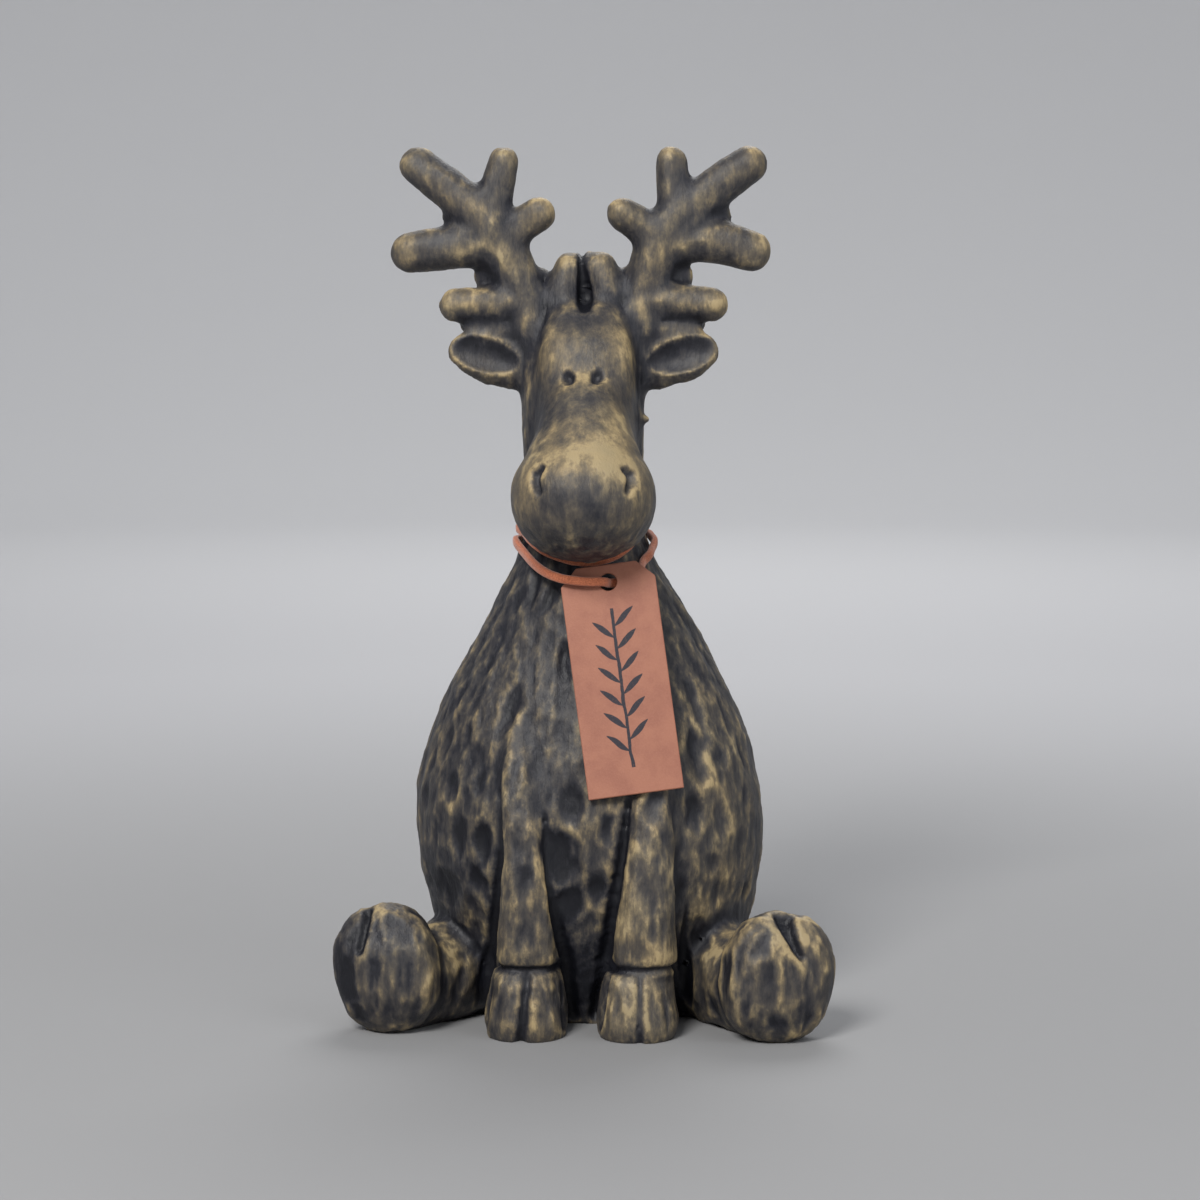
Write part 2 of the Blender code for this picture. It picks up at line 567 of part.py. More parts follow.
def front_share(place, normal):
    """Between the placed scoops on the front, and along its outline, the others are shallower."""
    return FRONT_SHARE if normal.y < 0.35 else 1.0


def flat_share(place, normal):
    """On slender forms the scoops stay off the edges."""
    return 1.0 if abs(normal.y) > 0.6 else 0.15


def gouge(scoops):
    scoops.around(BODY_AXIS, 12.5, 30, 11.5, 1.5, 1.5, 1.28, front_share)
    scoops.around(HEAD_AXIS, 15, 14, 14.0, 1.4, 0.45, 1.5, front_share)
    scoops.around(SNOUT_AXIS, 13, 14, 12.0, 1.4, 0.25, 1.6)
    for antler in (LEFT_ANTLER, RIGHT_ANTLER):
        for tine in antler:
            scoops.around(tine, 13, 6, 14.0, 1.5, 0.5, 1.4, flat_share)
    for leg in FORELEGS:
        scoops.around([(x, y, z, w) for x, y, z, w, _ in leg], 15, 8, 15, 1.4, 0.6, 1.6, flat_share)
    for x, half in HOOVES:
        scoops.around([(x, -37, 2, half), (x, -37, 20, half - 1.5)], 16, 14, 12, 1.4, 0.5, 1.3, flat_share)
    for (centre, radii, _), leg in zip(FEET, HIND_LEGS):
        low, high = centre[2] - radii[2] + 4, centre[2] + radii[2] - 4
        scoops.around([(centre[0], centre[1], low, 15), (centre[0], centre[1], high, 15)],
                      11, 11, 10, 1.5, 1.2, 1.6, front_share)
        scoops.around([(x, y, z, w) for x, y, z, w, _ in leg], 12, 10, 10, 1.5, 1.3, 1.4, front_share)
    for x, z, half_width, half_length, lean, depth in FRONT_SCOOPS + FOOT_SCOOPS:
        scoops.on_front(x, z, half_width * SCOOP_SPREAD, half_length * SCOOP_SPREAD, lean, depth * SCOOP_DEPTH)


# Half width from which a drawn line is cut to its full depth
WIDE_LINE = 1.2


def front_line(points, normals, line, depth):
    """Depth of a steep-sided cut along a line drawn on the front, shallower where the line is thin."""
    total = np.zeros(len(points))
    facing = np.clip(-normals[:, 1] * 4, 0, 1) * soft_step(line[0][3] - points[:, 1], 0, 4)
    for (x0, z0, w0, _), (x1, z1, w1, _) in zip(line, line[1:]):
        px, pz = points[:, 0] - x0, points[:, 2] - z0
        dx, dz = x1 - x0, z1 - z0
        share = np.clip((px * dx + pz * dz) / (dx * dx + dz * dz), 0, 1)
        half = w0 + share * (w1 - w0)
        away = np.hypot(px - share * dx, pz - share * dz) / half
        fading = np.clip(half / WIDE_LINE, 0, 1)
        total = np.maximum(total, depth * fading * np.clip(1 - away ** 4, 0, 1) * facing)
    return total


def ankle_depth(points):
    """The level ring cut between each foreleg and its hoof."""
    total = np.zeros(len(points))
    for x, half in HOOVES:
        away = np.hypot((points[:, 0] - x) / half, (points[:, 1] + 37) / 16)
        beside = soft_step(-points[:, 1], 28, 32) * (away < 1.05)
        off = (points[:, 2] - ANKLE) / 1.4
        total = np.maximum(total, 2.6 * beside * np.clip(1 - off * off, 0, 1))
    return total


# Cuts drawn on the front: stations of (x, z, half width, furthest back y), and the depth of each cut
CLEFTS = (
    (((-16.6, 20.5, 1.5, -40), (-18.8, -1, 2.1, -40)), 2.4),
    (((18.6, 20.5, 1.2, -40), (18.7, -1, 1.3, -40)), 1.6),
    (((-67.6, 43, 1.7, -20), (-70.4, 28, 1.7, -20)), 3.2),
    (((63.2, 41, 3.2, -20), (69.1, 28.6, 1.3, -20)), 4.0),
)
LEG_GROOVES = (
    (((-26.6, 78, 0.6, -20), (-26.2, 59, 1.2, -20), (-28.2, 41, 1.7, -20),
      (-30.2, 23, 2.4, -20), (-32, 3, 2.4, -20)), 2.8),
    (((-11.4, 71, 0.6, -20), (-9.4, 50, 1.0, -20), (-6.6, 34, 1.4, -20),
      (-4.6, 22, 2.0, -20), (-3.4, 3, 2.2, -20)), 2.6),
    (((14.6, 75, 0.8, -20), (12.4, 60, 1.3, -20), (9.4, 42, 1.7, -20),
      (7.2, 23, 2.2, -20), (3.8, 3, 2.2, -20)), 3.2),
    (((33.4, 40, 0.6, -20), (32.8, 31, 1.4, -20), (32.2, 21, 2.0, -20), (32.4, 3, 2.2, -20)), 2.2),
)


def ear_hollow(points, normals):
    """How deep each ear is hollowed, on its front."""
    total = np.zeros(len(points))
    for side in (-1, 1):
        root, tip = (np.array((HEAD_X + side * EAR[k][0], 0, EAR[k][2])) for k in (1, 4))
        axis = (tip - root) / np.linalg.norm(tip - root)
        up = np.array((-axis[2] * side, 0, axis[0] * side))
        middle = root + axis * np.linalg.norm(tip - root) * 0.62
        flat = points * (1, 0, 1) - middle * (1, 0, 1)
        u, v = flat @ axis / 11.5, (flat @ up - 0.3) / 5.6
        inside = np.clip(1 - u * u - v * v, 0, 1) ** 0.9
        facing = np.clip(-normals[:, 1] * 3, 0, 1) * (np.abs(points[:, 1]) < 9)
        total = np.maximum(total, 3.4 * inside * facing)
    return total


def parting_depth(points):
    """The narrow wedge between the two locks of the tuft."""
    rise = np.clip((points[:, 2] - 228) / 18, 0, 1)
    half = 2.2 * (1 - rise) + 0.8
    off = (points[:, 0] - HEAD_X - 0.8 + 1.6 * rise) / half
    high = soft_step(points[:, 2], 226, 230) * (points[:, 1] < 9)
    return high * 2.4 * np.clip(1 - off * off, 0, 1)


def carved_figure():
    """The figure's mesh, in modules, smoothed and carved."""
    surface = Surface(rough_figure())
    surface.relax(2)
    surface.fill_creases(round(40 / VOXEL), fold_share(surface.points))
    surface.relax(1)
    normals = surface.normals()
    scoops = Scoops(surface)
    gouge(scoops)
    hollow = ear_hollow(surface.points, normals)
    depth = smoothed(surface, scoops.depth[:, None], rounds_for(SCOOP_SOFTNESS))[:, 0]
    depth = np.maximum(depth, ankle_depth(surface.points))
    depth = np.maximum(depth, parting_depth(surface.points))
    for line, deep in CLEFTS + LEG_GROOVES:
        depth = np.maximum(depth, front_line(surface.points, normals, line, deep))
    surface.points -= normals * depth[:, None]
    surface.points[:, 1] += hollow
    surface.store()
    return surface.mesh


def cut_level(mesh, z):
    """Cuts the mesh off flat at a height, closes it there and sets it down on z = 0."""
    bm = bmesh.new()
    bm.from_mesh(mesh)
    everything = bm.verts[:] + bm.edges[:] + bm.faces[:]
    cut = bmesh.ops.bisect_plane(bm, geom=everything, plane_co=(0, 0, z), plane_no=(0, 0, 1), clear_inner=True)
    rim = [e for e in cut["geom_cut"] if isinstance(e, bmesh.types.BMEdge)]
    bmesh.ops.holes_fill(bm, edges=rim)
    bmesh.ops.triangulate(bm, faces=bm.faces)
    bmesh.ops.translate(bm, verts=bm.verts, vec=(0, 0, -z))
    bm.to_mesh(mesh)
    bm.free()
    keep_outer_skin(mesh)


def drop_slivers(mesh):
    """Closes up edges too short to see, except between the flat sole and what rises from it."""
    bm = bmesh.new()
    bm.from_mesh(mesh)
    level = [e for e in bm.edges if (e.verts[0].co.z < SHORTEST_EDGE) == (e.verts[1].co.z < SHORTEST_EDGE)]
    bmesh.ops.dissolve_degenerate(bm, dist=SHORTEST_EDGE, edges=level)
    bmesh.ops.triangulate(bm, faces=bm.faces)
    bm.to_mesh(mesh)
    bm.free()


def place_object(name, data, material):
    obj = bpy.data.objects.new(name, data)
    bpy.context.scene.collection.objects.link(obj)
    obj.data.materials.append(material)
    return obj


def plain_material(name, colour, roughness):
    material = bpy.data.materials.new(name)
    material.use_nodes = True
    shader = material.node_tree.nodes["Principled BSDF"]
    shader.inputs["Base Color"].default_value = (*colour, 1)
    shader.inputs["Roughness"].default_value = roughness
    return material


# Eyes: (x, z, radius); nostrils: lines of (x, z, half width)
EYES = ((-4.9, 206.9, 2.15), (4.2, 207.1, 2.15))
NOSTRILS = (
    ((-11.9, 180.2, 1.1), (-14.1, 178.0, 1.6), (-14.1, 175.6, 1.6), (-12.5, 173.0, 1.1)),
    ((13.7, 179.6, 1.1), (16.1, 178.0, 1.6), (16.1, 175.8, 1.6), (14.9, 173.0, 1.1)),
)


def face_cutters(tree):
    """The forms that cut the eye pits and the nostrils, each set on the face's surface."""
    bm = bmesh.new()

    def on_face(x, z):
        place, _, _, _ = tree.ray_cast(Vector((x, -MODULES_TALL, z)), Vector((0, 1, 0)))
        return place

    for x, z, radius in EYES:
        egg(bm, on_face(x, z), (radius, 2.0, radius), sides=14)
    for line in NOSTRILS:
        places = [on_face(x, z) for x, z, _ in line]
        limb(bm, [(*p, half, 2.4) for p, (_, _, half) in zip(places, line)], step=1.5, sides=10)
    mesh = bpy.data.meshes.new("face_cutters")
    bm.to_mesh(mesh)
    bm.free()
    return mesh


def make_figure():
    carved = carved_figure()
    cut_level(carved, 0)
    fine = bpy.data.objects.new("fine_figure", carved)
    pits = bpy.data.objects.new("face_cutters", face_cutters(surface_tree(carved)))
    for obj in (fine, pits):
        bpy.context.scene.collection.objects.link(obj)
    fewer = fine.modifiers.new("fewer_faces", "DECIMATE")
    fewer.ratio = FIGURE_TRIANGLES / len(carved.polygons)
    cut = fine.modifiers.new("cut_face", "BOOLEAN")
    cut.operation = "DIFFERENCE"
    cut.solver = "EXACT"
    cut.use_self = True
    cut.object = pits
    mesh = evaluated_copy(fine)
    for obj in (fine, pits):
        bpy.data.objects.remove(obj)
    cut_level(mesh, UNEVEN_SOLE)
    tallest = max(v.co.z for v in mesh.vertices)
    mesh.transform(Matrix.Scale(FIGURE_HEIGHT / tallest, 4))
    drop_slivers(mesh)
    mesh.shade_smooth()
    mesh.set_sharp_from_angle(angle=math.radians(RIDGE_ANGLE))
    mesh.materials.clear()
    return place_object("reindeer", mesh, plain_material("antiqued_casting", (0.13, 0.10, 0.07), 0.5))


def surface_tree(mesh):
    """A search tree over the mesh's surface."""
    mesh.calc_loop_triangles()
    points = [v.co.copy() for v in mesh.vertices]
    return BVHTree.FromPolygons(points, [tuple(t.vertices) for t in mesh.loop_triangles])


# Where the tag's hole is, in modules, and how far the tag leans in its own plane, in degrees
TAG_HOLE_AT = (7.9, -27.2, 142.6)
TAG_LEAN = 8.0


def tag_frame(tree):
    """The tag's hole centre and its across, down and outward directions, laid against the belly."""
    hole = Vector(TAG_HOLE_AT) * MODULE
    lean = math.radians(TAG_LEAN)
    for quarter in range(120):
        tilt = math.radians(quarter / 4)
        outward = Vector((0, -math.cos(tilt), math.sin(tilt)))
        down = Vector((0, -math.sin(tilt), -math.cos(tilt)))
        straight_down, straight_across = down, outward.cross(down)
        down = straight_down * math.cos(lean) + straight_across * math.sin(lean)
        across = straight_across * math.cos(lean) - straight_down * math.sin(lean)
        clear = True
        for i in range(13):
            for j in range(25):
                a = (i / 12 - 0.5) * TAG_WIDTH
                d = j / 24 * TAG_LENGTH - TAG_HOLE_DROP
                p = hole + across * a + down * d - outward * TAG_THICKNESS / 2
                place, _, _, _ = tree.ray_cast(p + outward * LONG_RAY, -outward, LONG_RAY + TAG_CLEARANCE)
                clear = clear and place is None
        if clear:
            return hole, across, down, outward
    return hole, across, down, outward


def make_tag(frame):
    """A thin leather tag with its two upper corners cut off and a hole for the lace."""
    hole, across, down, outward = frame
    half, corner = TAG_WIDTH / 2, TAG_CORNER
    top, bottom = -TAG_HOLE_DROP, TAG_LENGTH - TAG_HOLE_DROP
    outline = [(-half, bottom), (half, bottom), (half, top + corner), (half - corner, top),
               (-half + corner, top), (-half, top + corner)]
    sides = 24
    ring = [(TAG_HOLE_RADIUS * math.cos(2 * math.pi * k / sides), TAG_HOLE_RADIUS * math.sin(2 * math.pi * k / sides))
            for k in range(sides)]
    bm = bmesh.new()
    edges = []
    for loop in (outline, ring):
        verts = [bm.verts.new(hole + across * a + down * d - outward * TAG_THICKNESS / 2) for a, d in loop]
        edges += [bm.edges.new((verts[k], verts[(k + 1) % len(verts)])) for k in range(len(verts))]
    filled = bmesh.ops.triangle_fill(bm, use_beauty=True, use_dissolve=False, edges=edges, normal=outward)
    faces = [f for f in filled["geom"] if isinstance(f, bmesh.types.BMFace)]
    grown = bmesh.ops.extrude_face_region(bm, geom=faces)
    moved = [v for v in grown["geom"] if isinstance(v, bmesh.types.BMVert)]
    bmesh.ops.translate(bm, verts=moved, vec=outward * TAG_THICKNESS)
    bmesh.ops.recalc_face_normals(bm, faces=bm.faces)
    mesh = bpy.data.meshes.new("tag")
    bm.to_mesh(mesh)
    bm.free()
    return place_object("tag", mesh, plain_material("tag_leather", (0.48, 0.20, 0.14), 0.6))


# The lace's stations round the neck: (degrees, z in modules), from the front at 0 towards the viewer's right
BEFORE_TAG = ((200, 152.6), (225, 152.8), (250, 153.0), (275, 153.2), (298, 151.0))
AFTER_TAG = ((50, 147.2), (70, 150.4), (92, 153.6), (120, 155.0), (150, 155.8), (180, 156.2), (210, 156.6),
             (240, 157.2), (270, 157.6), (292, 156.6), (315, 153.4), (335, 150.4), (352, 149.2), (370, 149.0),
             (390, 150.4), (408, 154.2), (428, 158.8), (450, 160.8), (475, 161.0), (505, 160.4))
NECK_MIDDLE = (-0.6, 2.0)
KNOT_HEIGHT = 156.4
LONG_RAY = 0.1


def neck_surface(tree, degrees, z):
    """The neck's point at a height, seen from a direction round it, with that direction."""
    turn = math.radians(degrees)
    outward = Vector((math.sin(turn), -math.cos(turn), 0))
    middle = Vector((NECK_MIDDLE[0], NECK_MIDDLE[1], z)) * MODULE
    place, _, _, _ = tree.ray_cast(middle, outward, LONG_RAY)
    return place, outward


def beside_neck(tree, degrees, z):
    """A point of the lace's middle line beside the neck."""
    place, outward = neck_surface(tree, degrees, z)
    return place + outward * (LACE_DIAMETER / 2 + LACE_CLEARANCE)


def knot_middle(tree):
    """The knot sits behind the neck, outside the turn of the lace that passes under it."""
    place, outward = neck_surface(tree, 180, KNOT_HEIGHT)
    return place + outward * (LACE_CLEARANCE + LACE_DIAMETER + KNOT_GAP + KNOT_SIZE[1])


def push_clear(tree, p, need):
    """p moved out of the surface until it is need away from it."""
    place, normal, _, distance = tree.find_nearest(p)
    away = p - place
    if away.dot(normal) < 0:
        return place + normal * need
    if distance < need:
        return place + away.normalized() * need
    return p


def lace_route(tree, frame):
    """The lace's middle line: round the neck, through the tag, and round the neck once more."""
    hole, across, down, outward = frame
    knot = knot_middle(tree)
    gap = TAG_THICKNESS / 2 + LACE_DIAMETER / 2 + LACE_CLEARANCE
    reach = KNOT_SIZE[0] + LACE_DIAMETER / 2 + KNOT_GAP
    before = [knot + Vector((-0.93, 0.05, -0.36)) * reach]
    before += [beside_neck(tree, t, z) for t, z in BEFORE_TAG]
    through = [
        hole - across * 0.0135 + outward * (gap + 0.0002) - down * 0.0024,
        hole - across * 0.0065 + outward * (gap + 0.0004) - down * 0.0006,
        hole - across * 0.0014 + outward * gap * 0.80,
        hole + across * 0.0006 - outward * gap * 0.85,
        hole + across * 0.0050 - outward * (gap + 0.0004),
        hole + across * 0.0105 - outward * (gap + 0.0012) - down * 0.0010,
    ]
    after = [beside_neck(tree, t, z) for t, z in AFTER_TAG]
    after.append(knot + Vector((0.93, 0.05, 0.36)) * reach)
    guides = np.array([tuple(p) for p in before + through + after])
    along = np.concatenate([[0], np.cumsum(np.linalg.norm(np.diff(guides, axis=0), axis=1))])
    at_tag = (along[len(before)] - 0.002, along[len(before) + len(through) - 1] + 0.002)
    rows = smooth_rows(np.column_stack([along, guides]), 0.0008)
    line = [Vector(p) for p in rows[:, 1:]]
    free = [k for k in range(1, len(rows) - 1) if not at_tag[0] < rows[k][0] < at_tag[1]]
    need = LACE_DIAMETER / 2 + LACE_CLEARANCE
    for _ in range(10):
        for k in free:
            line[k] = push_clear(tree, line[k].lerp((line[k - 1] + line[k + 1]) / 2, 0.5), need)
    line = [push_clear(tree, p, need) for p in line]
    return ease_off(thin_out(rows[:, 0], line, at_tag), tree)


def ease_off(route, tree):
    """The route with every straight stretch between its points moved clear of the figure too."""
    need = (LACE_DIAMETER + LACE_CLEARANCE) / 2 + LACE_CLEARANCE / 4
    for _ in range(8):
        for k in range(1, len(route) - 2):
            for share in (0.0, 0.25, 0.5, 0.75):
                p = route[k].lerp(route[k + 1], share)
                shift = push_clear(tree, p, need) - p
                route[k] = route[k] + shift * (1 - share)
                route[k + 1] = route[k + 1] + shift * share
    return route


def thin_out(along, line, at_tag):
    """Fewer points of the line: far apart round the neck and close together at the tag."""
    picked = [line[0]]
    last = along[0]
    for s, p in zip(along, line):
        near = at_tag[0] - LACE_SPACING < s < at_tag[1] + LACE_SPACING
        if s - last >= (LACE_SPACING_AT_TAG if near else LACE_SPACING):
            picked.append(p)
            last = s
    picked[-1] = line[-1]
    return picked


def make_lace(route):
    """A suede lace that goes twice round the neck."""
    curve = bpy.data.curves.new("lace", "CURVE")
    curve.dimensions = "3D"
    curve.bevel_depth = LACE_DIAMETER / 2
    curve.bevel_resolution = 2
    curve.use_fill_caps = True
    spline = curve.splines.new("POLY")
    spline.points.add(len(route) - 1)
    for point, place in zip(spline.points, route):
        point.co = (*place, 1)
    return place_object("lace", curve, plain_material("lace_leather", (0.55, 0.21, 0.10), 0.7))


def make_knot(middle):
    """The knot that ties the lace's ends: a small lump with two slanting grooves."""
    bm = bmesh.new()
    egg(bm, (0, 0, 0), KNOT_SIZE, power=2.2, sides=16)
    for vertex in bm.verts:
        slant = vertex.co.x + 0.8 * vertex.co.z
        groove = math.cos(slant / KNOT_SIZE[0] * 4.0) ** 8
        vertex.co *= 1 - 0.14 * groove
        vertex.co += middle
    mesh = bpy.data.meshes.new("lace_knot")
    bm.to_mesh(mesh)
    bm.free()
    mesh.shade_smooth()
    return place_object("lace_knot", mesh, plain_material("knot_leather", (0.55, 0.21, 0.10), 0.7))


def main():
    for obj in list(bpy.data.objects):
        bpy.data.objects.remove(obj)
    figure = make_figure()
    tree = surface_tree(figure.data)
    frame = tag_frame(tree)
    make_tag(frame)
    make_lace(lace_route(tree, frame))
    make_knot(knot_middle(tree))


main()
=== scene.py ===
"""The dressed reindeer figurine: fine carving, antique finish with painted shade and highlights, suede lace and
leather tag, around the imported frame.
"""

import json
import math
import random

import bmesh
import bpy
import numpy as np
from mathutils import Matrix, Vector, noise
from mathutils.bvhtree import BVHTree
from mathutils.kdtree import KDTree

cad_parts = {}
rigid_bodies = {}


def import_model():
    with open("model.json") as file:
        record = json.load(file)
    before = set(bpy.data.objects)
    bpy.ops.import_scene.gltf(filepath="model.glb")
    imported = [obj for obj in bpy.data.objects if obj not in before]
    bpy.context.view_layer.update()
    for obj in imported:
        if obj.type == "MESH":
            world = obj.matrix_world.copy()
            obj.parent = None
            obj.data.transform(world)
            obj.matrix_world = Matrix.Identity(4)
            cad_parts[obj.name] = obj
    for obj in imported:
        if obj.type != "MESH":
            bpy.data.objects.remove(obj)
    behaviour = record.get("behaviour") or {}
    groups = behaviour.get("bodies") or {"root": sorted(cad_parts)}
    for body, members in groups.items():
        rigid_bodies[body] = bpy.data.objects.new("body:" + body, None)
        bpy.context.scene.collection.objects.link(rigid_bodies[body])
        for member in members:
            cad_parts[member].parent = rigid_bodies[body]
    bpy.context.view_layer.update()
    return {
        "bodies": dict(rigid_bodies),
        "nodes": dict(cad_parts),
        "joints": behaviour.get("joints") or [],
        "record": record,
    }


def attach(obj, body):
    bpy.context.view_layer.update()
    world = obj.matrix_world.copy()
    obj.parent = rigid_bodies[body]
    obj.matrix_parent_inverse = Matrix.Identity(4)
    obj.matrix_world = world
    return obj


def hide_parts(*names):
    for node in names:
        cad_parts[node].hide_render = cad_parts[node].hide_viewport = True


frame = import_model()

# Sizes in metres, as in the solids
FIGURE_HEIGHT = 0.280
LACE_DIAMETER = 0.0029
LACE_CLEARANCE = 0.0005
LACE_SPACING = 0.0048
LACE_SPACING_AT_TAG = 0.0016
KNOT_SIZE = (0.0046, 0.0032, 0.0040)
KNOT_GAP = 0.0004
TAG_WIDTH = 0.0300
TAG_LENGTH = 0.0730
TAG_THICKNESS = 0.0018
TAG_CORNER = 0.0056
TAG_HOLE_RADIUS = 0.0028
TAG_HOLE_DROP = 0.0056
TAG_CLEARANCE = 0.0005

# One module is a 280th of the figure's height
MODULES_TALL = 280
MODULE = FIGURE_HEIGHT / MODULES_TALL
VOXEL = 0.85
FIGURE_TRIANGLES = 190000
UNEVEN_SOLE = 0.12
SEED = 7
HEAD_X = -0.9


def smooth_rows(rows, step):
    """Rows of (position, value, value, ...) filled in about every step, along a smooth curve."""
    rows = np.array(rows, float)
    at = rows[:, 0]
    slopes = np.gradient(rows, at, axis=0)
    wanted = np.linspace(at[0], at[-1], max(2, round((at[-1] - at[0]) / step) + 1))
    i = np.clip(np.searchsorted(at, wanted, side="right") - 1, 0, len(at) - 2)
    gap = (at[i + 1] - at[i])[:, None]
    u = (wanted - at[i])[:, None] / gap
    v = 1 - u
    near = (1 + 2 * u) * v * v * rows[i] + u * v * v * gap * slopes[i]
    far = (1 + 2 * v) * u * u * rows[i + 1] - u * u * v * gap * slopes[i + 1]
    return near + far


def skin(bm, rings):
    """A closed skin over rings of points that all have the same count."""
    loops = [[bm.verts.new(p) for p in ring] for ring in rings]
    faces = []
    for low, high in zip(loops, loops[1:]):
        for k in range(len(low)):
            m = (k + 1) % len(low)
            faces.append(bm.faces.new((low[k], low[m], high[m], high[k])))
    faces.append(bm.faces.new(loops[0][::-1]))
    faces.append(bm.faces.new(loops[-1]))
    bmesh.ops.recalc_face_normals(bm, faces=faces)


def squircle(angle, power):
    """A point of the unit superellipse: power 2 is a circle, and more is squarer."""
    c, s = math.cos(angle), math.sin(angle)
    return (
        math.copysign(abs(c) ** (2 / power), c),
        math.copysign(abs(s) ** (2 / power), s),
    )


def stack(bm, slices, power=2.0, step=3.0, sides=40):
    """A form stacked from level slices (z, middle x, half width, front y, back y)."""
    rings = []
    for z, x, half, front, back in smooth_rows(slices, step):
        middle, depth = (front + back) / 2, (back - front) / 2
        half, depth = max(half, 0.3), max(depth, 0.3)
        ring = []
        for k in range(sides):
            c, s = squircle(2 * math.pi * k / sides, power)
            ring.append((x + half * c, middle + depth * s, z))
        rings.append(ring)
    skin(bm, rings)


def limb(bm, path, flat=(0, 1, 0), step=2.0, sides=20, power=2.0):
    """A round-ended limb along path rows (x, y, z, half width, half thickness); flat is the thickness axis."""
    path = np.array(path, float)
    along = np.concatenate([[0], np.cumsum(np.linalg.norm(np.diff(path[:, :3], axis=0), axis=1))])
    rows = smooth_rows(np.column_stack([along, path]), step)[:, 1:]
    centres, widths, depths = rows[:, :3], rows[:, 3], rows[:, 4]
    tangents = np.gradient(centres, axis=0)
    tangents /= np.linalg.norm(tangents, axis=1)[:, None]
    cuts = [(centres[0], tangents[0], widths[0], depths[0], -a) for a in (85, 65, 45, 22)]
    cuts += [(c, t, w, d, 0) for c, t, w, d in zip(centres, tangents, widths, depths)]
    cuts += [(centres[-1], tangents[-1], widths[-1], depths[-1], a) for a in (22, 45, 65, 85)]
    rings = []
    for centre, tangent, width, depth, cap in cuts:
        up = np.array(flat, float) - np.dot(flat, tangent) * tangent
        up /= np.linalg.norm(up)
        side = np.cross(tangent, up)
        reach, shrink = math.sin(math.radians(cap)), math.cos(math.radians(cap))
        middle = centre + tangent * reach * (width + depth) / 2
        ring = []
        for k in range(sides):
            c, s = squircle(2 * math.pi * k / sides, power)
            ring.append(middle + side * width * shrink * c + up * depth * shrink * s)
        rings.append(ring)
    skin(bm, rings)


def egg(bm, centre, radii, turn=(0, 0, 0), power=2.0, sides=32):
    """A rounded form with three radii, turned by three angles in degrees, and squarer above power 2."""
    spin = Matrix.Rotation(math.radians(turn[2]), 3, "Z")
    spin = spin @ Matrix.Rotation(math.radians(turn[1]), 3, "Y")
    spin = spin @ Matrix.Rotation(math.radians(turn[0]), 3, "X")
    rings = []
    for j in range(1, sides // 2):
        out, up = squircle(math.pi * j / (sides // 2) - math.pi / 2, power)
        ring = []
        for k in range(sides):
            c, s = squircle(2 * math.pi * k / sides, power)
            p = Vector((radii[0] * out * c, radii[1] * out * s, radii[2] * up))
            ring.append(Vector(centre) + spin @ p)
        rings.append(ring)
    skin(bm, rings)


def add_body(bm):
    """The pear-shaped body, from the seat up to the neck."""
    stack(bm, [
        (-5, 1.2, 41.0, -21.0, 45.0),
        (0, 1.2, 45.0, -24.5, 48.5),
        (10, 1.3, 48.5, -29.0, 52.0),
        (20, 1.5, 50.5, -33.5, 54.0),
        (33, 1.6, 53.6, -38.5, 55.0),
        (48, 1.1, 56.5, -42.0, 54.5),
        (60, 1.0, 57.2, -43.0, 53.0),
        (75, 0.5, 56.1, -42.0, 50.5),
        (90, 0.5, 52.2, -38.5, 47.0),
        (105, 0.3, 46.4, -33.5, 42.5),
        (120, 0.6, 38.2, -28.0, 37.0),
        (135, 0.3, 30.1, -23.5, 31.0),
        (150, -0.3, 21.9, -19.0, 24.0),
        (155, -0.6, 19.8, -17.0, 22.0),
        (161, -0.9, 18.7, -14.0, 20.5),
        (178, -1.1, 18.9, -12.0, 19.5),
    ], sides=56)


def add_head(bm):
    """The back of the head, the narrower face in front of it, and the muzzle."""
    x = HEAD_X
    stack(bm, [
        (160, x - 0.1, 17.5, -12.0, 19.0),
        (176, x - 0.2, 19.2, -12.0, 19.5),
        (190, x - 0.3, 19.8, -12.5, 19.5),
        (204, x, 19.9, -12.0, 19.5),
        (213, x, 19.0, -10.5, 18.5),
        (220, x, 16.8, -7.5, 15.5),
        (224.5, x, 12.0, -4.0, 11.0),
        (226, x, 6.0, 0.0, 6.0),
    ], power=2.5, step=2.0)
    stack(bm, [
        (170, x + 1.0, 19.0, -36.0, 0.0),
        (179, x + 1.0, 17.8, -31.0, 0.0),
        (188, x + 1.2, 16.2, -25.6, 0.0),
        (198, x + 1.4, 15.4, -22.0, 2.0),
        (208, x + 1.4, 15.4, -19.6, 2.0),
        (216, x + 1.4, 14.9, -17.2, 2.0),
        (220.5, x + 1.2, 13.6, -14.6, 2.0),
        (224, x + 0.9, 12.6, -10.6, 2.0),
        (227.5, x + 0.6, 11.2, -7.4, 2.0),
        (230, x + 0.4, 8.6, -4.8, 2.0),
    ], power=2.5, step=1.5)
    limb(bm, [(x + 1.3, -11, 202, 12.6, 11.0), (x + 1.3, -20, 190, 15.2, 14.5), (x + 1.2, -29, 179, 19.5, 17.0)])
    egg(bm, (x + 1.2, -32.0, 169.6), (23.1, 23.0, 19.9), turn=(-12, 0, 0), power=2.1)
    egg(bm, (HEAD_X + 19.6, -3, 192.9), (2.4, 2.0, 1.7))


